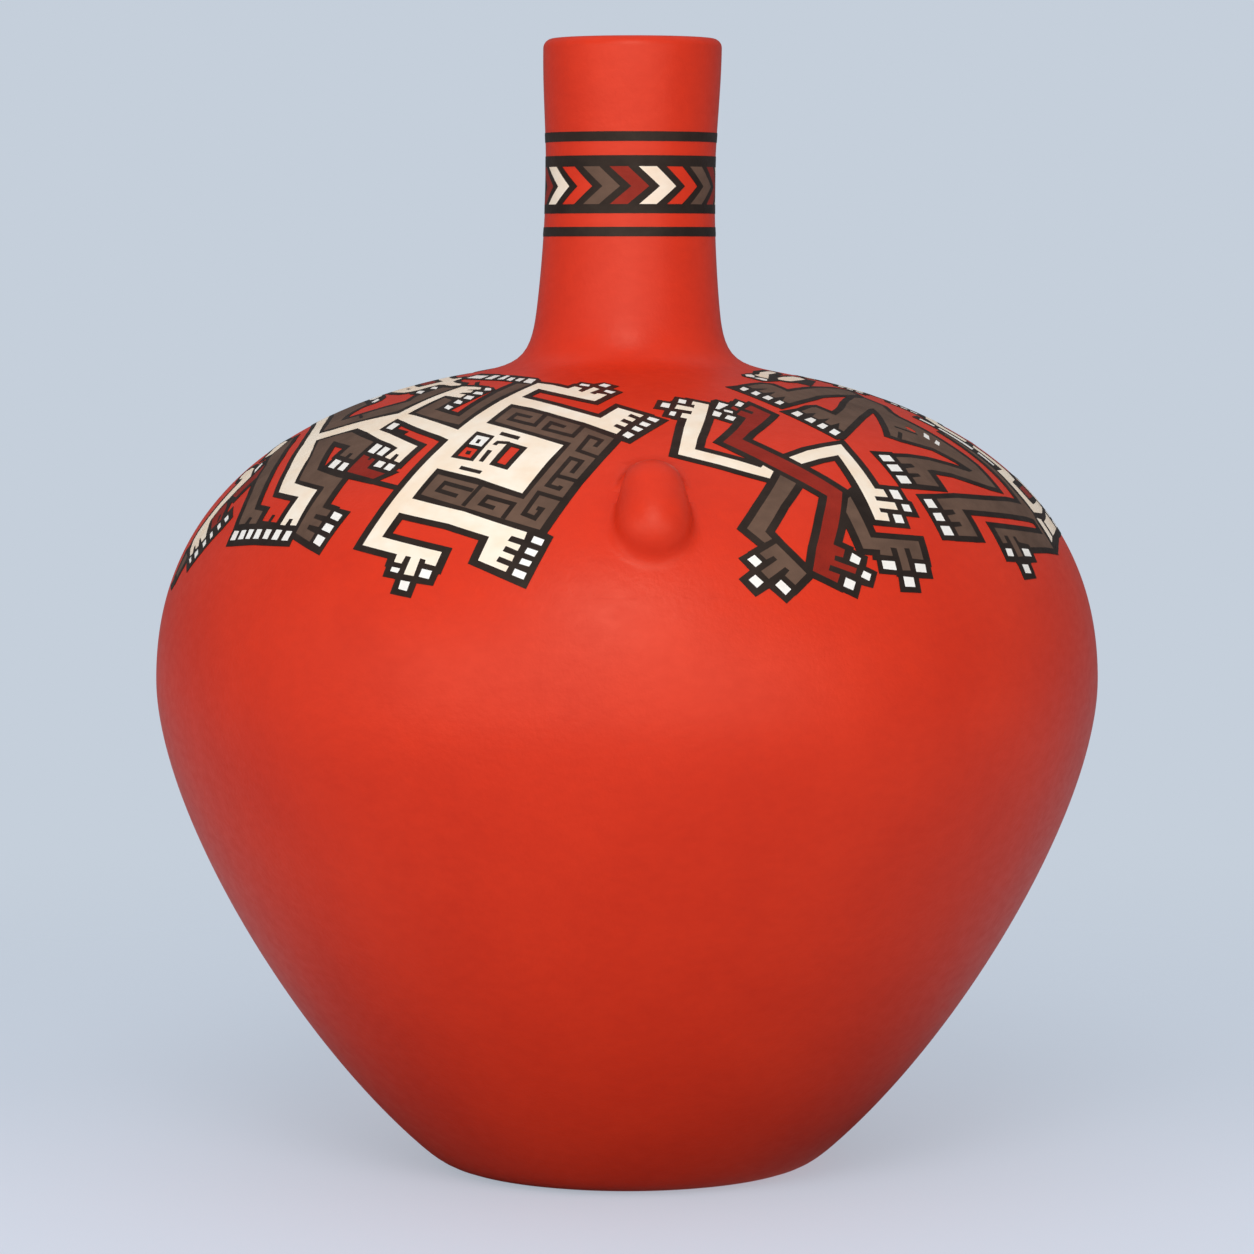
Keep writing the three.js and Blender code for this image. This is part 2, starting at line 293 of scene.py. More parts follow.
FILLS = [
    (CREAM, [
        -27.8, 90, -22, 88.7, -16.1, 86.2, -14.9, 87.8, -12.3, 86.5, -12.9, 84.8, -11.6, 83.9, -9.3, 87.2,
        -7.4, 86, -9.5, 83.4, -8, 82.4, -7.4, 83.2, -4.9, 82.2, -7.3, 78.5, -15.5, 82.2, -24.5, 85.9,
        -25.8, 80.4, -20.2, 78.1, -15.7, 76, -10.4, 73.1, -5.1, 70, -1.9, 75, 3.3, 71.3, 2.5, 70.3, 0.8, 72,
        0.1, 70.9, 1.7, 69.5, 1, 68.4, -0.6, 69.8, -1.3, 68.7, 0.2, 67.4, -0.4, 66.3, -1.9, 67.5, -2.5, 66.6,
        -1, 65.1, -1.8, 63.5, -7.8, 67.9, -15.7, 72.3, -20.4, 74.6, -26.2, 76.5, -27.1, 67.4, -22, 65.3,
        -16, 62.4, -10.4, 59.3, -12.1, 54, -14.5, 45, -22, 48.9, -29.4, 51.4, -30.6, 43.1, -22, 40.3,
        -12.7, 35.8, -12.9, 34.2, -14.6, 35, -15, 33.9, -13.2, 33, -13.5, 31.8, -15.1, 32.8, -15.4, 31.7,
        -13.8, 30.8, -14, 29.6, -15.7, 30.6, -16, 29.6, -14.3, 28.6, -14.6, 27.5, -18.3, 29.7, -17.5, 34.7,
        -23.6, 37.4, -31.5, 39.6, -32.5, 34, -23.3, 31.2, -23.7, 28.3, -25.2, 28.8, -25.2, 29.5, -26, 29.8,
        -26.3, 26.2, -27.7, 26.5, -27.3, 30, -28.1, 30.2, -28.4, 28.6, -29.5, 28.9, -29.4, 30.5, -35, 32.1,
        -34.1, 38, -32.9, 47, -31.6, 58, -31.4, 60.6, -34, 62, -38, 63.6, -42, 65.2, -46, 66.8, -49.8, 68.1,
        -50, 63.4, -46, 62.2, -42, 60.6, -36.4, 58.1, -37, 52.7, -38.3, 53.2, -38.4, 55.1, -39.2, 55.4,
        -39.4, 53.6, -40.8, 54.2, -40.1, 57.3, -42.6, 58.6, -46, 59.8, -52, 62.2, -57, 63.5, -60, 61.5,
        -65, 58.3, -61.7, 55.4, -59.6, 53, -57.5, 49, -55.8, 45.5, -49, 44.2, -48.3, 35.5, -49.6, 35.5,
        -49.7, 36.9, -50.5, 36.9, -50.6, 35.4, -51.7, 35.4, -51.9, 42.2, -57.8, 42.9, -59.6, 46, -61.7, 49.5,
        -63.9, 52.2, -67.8, 56.6, -72.2, 59.8, -76.7, 62, -81.1, 63.2, -90, 63.8, -96, 63.4, -98.4, 61.8,
        -98.3, 56.6, -101.4, 56.6, -101.7, 63, -98.4, 65.9, -90, 66.3, -85.6, 66.3, -81.1, 65.7, -76.7, 64.5,
        -72.2, 62.5, -68.4, 60.5, -65.6, 61.9, -60, 66, -56, 68.3, -52.2, 70.4, -52.4, 80, -52, 86.2,
        -47, 86.3, -43.6, 85.9, -42.4, 84.6, -45.9, 84.4, -46.5, 83.9, -43.8, 83.8, -43.1, 82.5, -45.9, 82.2,
        -46, 81.6, -43.2, 81.2, -42.8, 79.3, -49.2, 80.2, -49.2, 70.3, -46, 69.7, -42, 68.5, -38, 67.1,
        -34, 65.5, -31.5, 64.4, -31, 70, -30, 78
    ]),
    (BROWN, [
        -25, 74.7, -20.4, 73, -15.7, 70.9, -8.7, 66.9, -2.2, 61.8, -4.8, 55.2, -7.4, 48.2, -9.2, 42.6,
        -11.1, 36.4, -15.9, 38.6, -21.9, 41.2, -29.5, 44.2, -28.6, 49.7, -21.6, 47.1, -14.1, 43.5,
        -11.1, 53.5, -9.2, 60.1, -16, 63.6, -22, 66.5, -25.7, 68.2
    ]),
    (BROWN, [
        -47.8, 79, -43.8, 77.8, -43.3, 73.4, -43.9, 72.9, -40, 71.6, -34.7, 69.9, -34.8, 83, -34.5, 89.4,
        -29.6, 89.1, -31.6, 80.3, -32.1, 74.4, -32.5, 66.5, -36, 67.5, -42, 69.4, -47.5, 71
    ]),
    (BROWN, [
        -63.7, 58.2, -58.6, 61.5, -56.9, 62, -50.7, 60.1, -47.1, 59, -47, 53, -48.6, 53.4, -48.7, 54.9,
        -49.6, 55, -49.7, 53.7, -51.5, 54.1, -51.6, 57.3, -58.4, 58.5, -53.3, 49.5, -46.9, 47.8, -45.6, 47.6,
        -45.3, 40, -43.3, 39.4, -43.4, 38, -45.7, 38.4, -45.7, 37.4, -43.7, 36.8, -43.8, 35.5, -45.8, 35.9,
        -45.8, 34.9, -43.9, 34.1, -44.1, 32.2, -47.5, 33.9, -47.8, 44.4, -48, 45.1, -55.3, 46.4, -57.5, 50.8,
        -59.6, 54
    ]),
    (BROWN, [
        -80, 58, -75.8, 56.2, -70, 51.6, -65.6, 46.3, -63.3, 42.9, -60.8, 38.3, -58.1, 38.1, -57.7, 35.2,
        -59.6, 35, -59.7, 36.4, -60.6, 36.5, -60.7, 34.9, -62.4, 34.6, -63.9, 38.2, -66, 41.9, -68.9, 45.3,
        -72.2, 49.2, -75.8, 51.3, -78, 53.4
    ]),
    (BROWN, [
        -59.4, 85, -53.8, 85, -54.1, 71.5, -58, 68.8, -62, 65.9, -64, 64.4, -68.5, 61.6, -72.2, 64.1,
        -76.7, 65.9, -81.1, 67.1, -90, 67.6, -94.4, 67.7, -94.6, 69.3, -92.6, 69.4, -92.6, 70, -94.6, 70.1,
        -94.6, 71.3, -92.6, 71.4, -92.6, 72, -94.6, 72.1, -94.4, 73.7, -80, 73.7, -75, 73.2, -74, 71,
        -72.2, 68.1, -69, 65.7, -66, 67.8, -62.8, 71, -57.5, 76.4, -60, 79.5
    ]),
    (CREAM, [
        -93.2, 91, -91, 91.6, -72.2, 91, -70.9, 92.1, -67.8, 91.8, -65.6, 89.3, -60, 88.3, -56, 87.9,
        -54.8, 86.9, -58, 86.3, -64, 86.8, -66.7, 86.6, -67.8, 85, -68.1, 82.5, -70, 81.2, -72.2, 80.5,
        -81, 80, -95.6, 79.3, -95.8, 80.8, -93.8, 80.9, -93.8, 81.4, -95.8, 81.5, -95.8, 82.6, -93.8, 82.7,
        -93.8, 83.1, -95.6, 83.2, -95.2, 84.5, -74.4, 84.1, -72.9, 87.2, -72.4, 88.8, -78, 89.2, -92, 89.3
    ]),
    (MAROON, [-93, 87, -91, 88.1, -76, 88.2, -74.6, 86.8, -75, 85.4, -91.4, 85.6]),
    (MAROON, [-45.9, 54.7, -42.4, 53.4, -42.4, 50.7, -38, 49.4, -39.5, 47.8, -45.9, 49.2]),
    (CREAM, [
        -82, 46.5, -80, 47.8, -78, 47.9, -75.8, 46.7, -74.1, 45.9, -73.9, 44.5, -74.2, 40.3, -74.9, 37.1,
        -75.1, 34.2, -73.6, 32.6, -71.9, 30.8, -72.5, 29.6, -74.3, 30.4, -74.4, 29.9, -73, 28.8, -73.6, 27.9,
        -75, 28.7, -75.2, 28.2, -74.1, 27, -74.8, 26.3, -76.7, 27.4, -78.4, 29.5, -78.4, 31.3, -77.6, 36.6,
        -77.3, 40.3, -77.4, 43.4, -78, 44.9, -80.4, 44.5, -81.8, 45.2
    ]),
    (MAROON, [-73.7, 49.4, -72.3, 48.4, -70.4, 45.8, -71.2, 40.4, -73.4, 40.6, -73, 46]),
    (MAROON, [-73.6, 38.9, -72, 38, -70, 35, -71.5, 32.6, -74.4, 34.6, -74.4, 36.5]),
    (CREAM, [-84.2, 56.4, -81, 56.6, -79, 54.6, -77.9, 52.4, -80, 51, -82, 52.8, -84.6, 53.6, -86.2, 55]),
    (BROWN, [-78.6, 26.6, -76.6, 26, -76.6, 24.6, -78, 21.5, -79.4, 22]),
    (CREAM, [
        15, 78.2, 18.1, 76.4, 16, 71.7, 14, 66.9, 12, 61.8, 10.9, 57.9, 14, 56.1, 17.4, 54, 20.3, 51.9,
        20.8, 52.6, 22, 50.8, 20.9, 48.8, 18, 50.5, 14, 53, 8, 56.3, 9.2, 61.6, 10.4, 66.2, 11.6, 69.7,
        10.4, 70.3, 11.2, 72.3, 12.8, 71.6, 13.4, 73.1, 10, 74.5, 11, 76.5, 14.2, 74.7, 14.9, 76.3, 14.2, 76.5
    ]),
    (MAROON, [
        16.1, 60.3, 20, 65, 23.6, 69.7, 22.3, 71.4, 24.1, 73.2, 25.6, 71.3, 26.6, 72.4, 25.2, 73.9,
        27.7, 75.6, 29.7, 71, 26, 67.6, 22, 63.9, 19.7, 61.2, 23.9, 55.6, 26.8, 51.7, 29.2, 48.1, 31.2, 44.7,
        29.5, 40.3, 28, 36.4, 26.5, 32.7, 27.9, 31.5, 27.3, 29.9, 26.3, 30.4, 26, 29.4, 28.8, 27.6,
        28.4, 26.5, 25.3, 28.5, 24.9, 27.4, 26.3, 26.5, 25.7, 24.9, 22.8, 27.4, 24, 32, 26.4, 38.7,
        28.5, 43.8, 26, 47.3, 22, 52.5, 20, 55.3
    ]),
    (MAROON, [22.3, 74.4, 23.4, 75.4, 23.9, 73.9, 23, 73.1]),
    (BROWN, [22.8, 49.7, 24.6, 47.3, 21, 41.9, 17.7, 35.8, 18.4, 34.2, 17.3, 33.4, 15.4, 36.6, 18, 41.4]),
    (BROWN, [
        18.8, 33.2, 21.9, 26.9, 20.2, 24.7, 19.1, 26.6, 19.8, 27.6, 19.3, 28.3, 17, 26, 16.2, 27.6,
        18.5, 29.8, 18.1, 30.6, 17.1, 29.9, 16.4, 31.2
    ]),
    (BROWN, [
        32.1, 43.5, 32.3, 33.9, 39.6, 32.6, 39.2, 28.7, 37.5, 29.1, 37.6, 31.2, 36.8, 31.3, 36.6, 26.7,
        35.4, 26.8, 35.6, 31.4, 34.7, 31.6, 34.6, 29.8, 32.8, 30.2, 33, 31.2, 30.6, 31.6, 30.2, 39.8,
        31.6, 43.1
    ]),
    (CREAM, [
        25.9, 54.9, 30, 56.9, 34, 58, 37.7, 58.7, 37.5, 57, 37.1, 45.3, 38.5, 45, 38.4, 43, 36.2, 43.4,
        36.1, 42.3, 39, 41.6, 38.8, 39.8, 35.8, 40.5, 35.7, 39.5, 36.7, 39.2, 36.4, 37.3, 34.2, 37.8,
        34.8, 50.6, 35.1, 55.2, 31, 54.2, 27.3, 52.8
    ]),
    (BROWN, [
        36.2, 87.4, 40, 88.2, 44, 88.6, 46, 88, 45.2, 82.9, 50.9, 83.8, 56.4, 84.3, 61.8, 84.5, 70, 83.5,
        73, 83, 75, 81.2, 72, 79, 66, 79.6, 61.8, 80, 56, 80.1, 52, 79.9, 48, 78.9, 44, 78, 38.4, 76.4,
        37.8, 77.8, 40.8, 80, 37.2, 79.6, 37, 81, 41, 83, 36.6, 82.6, 36.4, 84, 41.2, 85.2, 36.2, 85.7
    ]),
    (BROWN, [
        38.2, 72.3, 42.4, 73.9, 43.9, 73.9, 45.4, 69.9, 50.9, 72.4, 56, 75, 60, 76.4, 66, 77.8, 70.5, 77,
        70, 73, 66.4, 70.5, 65, 68, 66, 60, 67, 50, 65.6, 43.4, 63.6, 44.1, 60, 46, 56, 48.3, 52, 49.6,
        50.8, 49.6, 50.1, 45, 45.8, 46, 46, 47.8, 48, 47.9, 48, 48.8, 46, 49, 46.3, 50.4, 48.7, 50.6,
        48.6, 51.7, 46.4, 51.9, 46.7, 53.9, 50, 53.5, 54, 52.3, 58, 50.3, 61.8, 48.2, 63.4, 48.4, 61.8, 52,
        59.3, 56, 53.5, 59.6, 52, 61, 56, 65.4, 60, 69.3, 62.6, 72.2, 60, 72, 56, 70.7, 52, 69.2, 48, 67.2,
        44, 64.9, 41.6, 63.3, 41.2, 64.4, 43.3, 66.6, 40.4, 65.8, 40, 67.2, 42.5, 68.6, 39.4, 68.4, 39, 69.8,
        41.2, 71.2, 38.5, 71.2
    ]),
    (BROWN, [
        47.5, 42, 52, 41.9, 60, 40.6, 66, 39.8, 70.1, 38.7, 71.4, 44, 72.2, 50, 72.8, 60, 74, 60, 73.6, 48,
        72.2, 42, 72.2, 36.6, 71, 34, 71.2, 28.3, 68, 28.9, 62.9, 29.4, 62.8, 30, 60.3, 30.8, 60.2, 32,
        59.5, 32.1, 59.5, 27.8, 58.2, 27.8, 58.2, 32.4, 57.3, 32.5, 57.2, 30.9, 56.1, 30.9, 56.1, 34.4,
        62, 33.2, 68, 32, 70.2, 31.6, 70.4, 35, 68, 35.9, 62, 37.2, 56, 38.3, 51.3, 39.1, 51.1, 32.8,
        47.4, 33.3, 47.4, 35.2, 49.1, 35.3, 49.1, 36.3, 47.4, 36.4, 47.4, 37.9, 49.3, 38.1, 49.3, 39.2,
        47.4, 39.3
    ]),
    (CREAM, [
        74.4, 47.6, 78.4, 47.4, 78.6, 54.8, 81.5, 55, 81.5, 46.4, 80, 44.4, 76.1, 44.1, 75.8, 39.2,
        76.4, 38.1, 82.4, 38.5, 82.4, 36.8, 77.6, 35.8, 73, 36.5, 73.4, 41.4
    ]),
    (CREAM, [72.2, 35.2, 74, 34.7, 74, 30.6, 72.1, 29.6]),
    (CREAM, [75, 34.1, 77.6, 34.5, 81.5, 35.6, 81.5, 31.9, 78, 31.4, 74.9, 30.8]),
    (CREAM, [83.8, 44.8, 86.2, 43.2, 86.4, 37.8, 84, 37.2]),
    (MAROON, [77.2, 42.4, 82, 42.6, 82, 39.6, 77.2, 39.6]),
    (CREAM, [
        52.6, 94.2, 54, 96.2, 57, 96.2, 64, 97.9, 76, 98.2, 79, 97.4, 76, 96.5, 64, 96, 57, 93.9, 53.5, 92.6
    ]),
    (CREAM, [57, 91.6, 60, 92.8, 66, 93.4, 75, 93, 77.4, 91.8, 75, 90.4, 60, 89.9, 58.4, 90.3]),
]

BLACKS = [
    [-16.3, 87.2, -14.6, 91.5, -10.1, 89.9, -7.1, 91.1, -2.2, 88.2, -4, 86.5, -1, 84, -7, 76.9, -12, 80],
    [-2.2, 77, 8, 69.1, 4, 64.4, 0.5, 59.9, -1, 61, -3, 63],
    [-12.5, 37, -10.3, 35.8, -9.2, 34.9, -11.9, 24.2, -19.2, 28.9, -18.3, 33.6],
    [-30.3, 30, -30.6, 25.9, -28.7, 25.5, -29, 22.6, -26.1, 21.9, -25.7, 24.8, -23.5, 24.4, -22.2, 31.9],
    [-49.9, 68, -45.6, 66.6, -45.6, 62, -49.9, 63.5],
    [
        -46.9, 59.6, -40.1, 57.6, -41, 53.8, -37, 52.8, -35.4, 58.6, -36.5, 49, -42.3, 50.8, -42.4, 53.5,
        -45.9, 54.8, -46.9, 54.9
    ],
    [-52.4, 53.6, -46.9, 53, -45.9, 53, -45.9, 49.2, -53.3, 49.8, -52.4, 50.4],
    [-63.4, 34.6, -57, 36, -47.6, 35.6, -47.5, 30.9, -55.4, 30.6, -62.4, 29.6],
    [-45.3, 40.8, -44.3, 40.6, -39.6, 39.4, -41.4, 29.5, -47.6, 32.6, -47.5, 34],
    [-43.2, 86.6, -39.5, 86.3, -37.3, 84.9, -37.9, 79, -38.4, 76, -39, 72.6, -43.9, 73.4, -43.2, 77, -43, 80],
    [-92, 78.2, -81, 78.1, -75.5, 77.4, -72.3, 75.8, -71.6, 74, -73, 72, -92, 72],
    [-92, 66.8, -92, 74.6, -99.6, 74.6, -99.4, 66.8],
    [-93, 78.4, -93, 85.4, -101, 85.2, -101.4, 78.4],
    [73.4, 67.4, 78.2, 67.4, 80, 56, 79, 47.6, 74.4, 47.6],
    [80.5, 31, 87.2, 31, 87, 36.8, 80.5, 36.6],
    [-69, 86.6, -64, 86.6, -59, 84.8, -58.2, 83, -60, 79.8, -66, 80, -70, 81],
    [
        -70, 96.4, -56, 96.7, -51, 96.1, -44.5, 96, -35.5, 94.8, -31.8, 94.2, -28.6, 92.2, -28.6, 88.6,
        -36, 90.4, -44, 91.4, -56, 91.5, -66, 91.5, -70, 92.4
    ],
    [-77.8, 50.4, -75.9, 50.4, -73.4, 47.6, -74, 45.8, -78, 47.6],
    [-69.1, 38.4, -66.1, 36, -66.9, 33.2, -70, 27.4, -72.7, 23, -75.4, 25, -74.8, 27, -72, 31, -70, 34.6],
    [-80.4, 27, -78.4, 29, -75.2, 26, -75.6, 24, -77.6, 20, -79.2, 18.6, -81.6, 19.4, -79.4, 21.4],
    [
        7.1, 79.3, 10, 78.1, 11.6, 81.2, 16, 79, 19, 77.6, 18, 75, 11.6, 69, 10.1, 69.2, 6.8, 70.9, 7.8, 73.8,
        5.5, 74.7
    ],
    [19.4, 78.6, 21, 79.3, 23.4, 77.1, 26.1, 79.6, 31.5, 70.8, 28, 70, 19.6, 67.5, 16.4, 70.3],
    [
        13.6, 30.3, 16.4, 32.7, 17.5, 33.8, 19, 35, 22.2, 28.9, 22.6, 25.9, 18.8, 21.2, 16.9, 24.2,
        15.1, 22.6, 13.3, 26.1, 14.8, 27.8
    ],
    [22.3, 26.3, 28, 21.6, 28.9, 24.3, 30.4, 23.6, 31.6, 26.7, 30.2, 27.9, 30.9, 29.9, 27.5, 32.9, 26, 31],
    [
        32.1, 30.3, 31.8, 26.4, 34.5, 25.9, 34.2, 22.6, 37.3, 22.2, 37.5, 25.1, 39.8, 24.8, 40.4, 33.4,
        33.2, 34.9
    ],
    [
        37, 46.9, 38, 46.3, 41.9, 45.6, 41.7, 42, 42.2, 41.6, 41.9, 37.8, 39.6, 38.3, 39.3, 35.4, 33.4, 36.6,
        36, 40
    ],
    [28.6, 87.3, 36, 88.4, 37.5, 88, 38.3, 76, 40, 75.6, 34.1, 73.5, 33.4, 75],
    [32.7, 72.6, 38.2, 73.7, 39, 71.5, 42.3, 62.2, 39.8, 60.4, 37.9, 60.4],
    [42.3, 56.2, 47, 55.5, 47, 45, 50.5, 43.6, 41.9, 45.2],
    [44, 43.5, 47.6, 43.3, 47.6, 33.4, 51.1, 31.5, 43.9, 32.6],
    [55, 35.8, 54.9, 27.1, 57.2, 26.8, 57.4, 23.1, 60.7, 23.1, 60.8, 26.3, 62.8, 26.2, 63, 31],
    [60, 65, 62, 65.8, 65.6, 64, 65.6, 57, 62, 55.6, 60.4, 60],
    [45.6, 95.6, 48, 97, 53, 97.2, 60, 97.4, 60, 90.6, 50, 90.4, 46.6, 90.6],
    [62, 86, 72, 88, 78, 88.6, 78, 90, 60, 89.8],
]

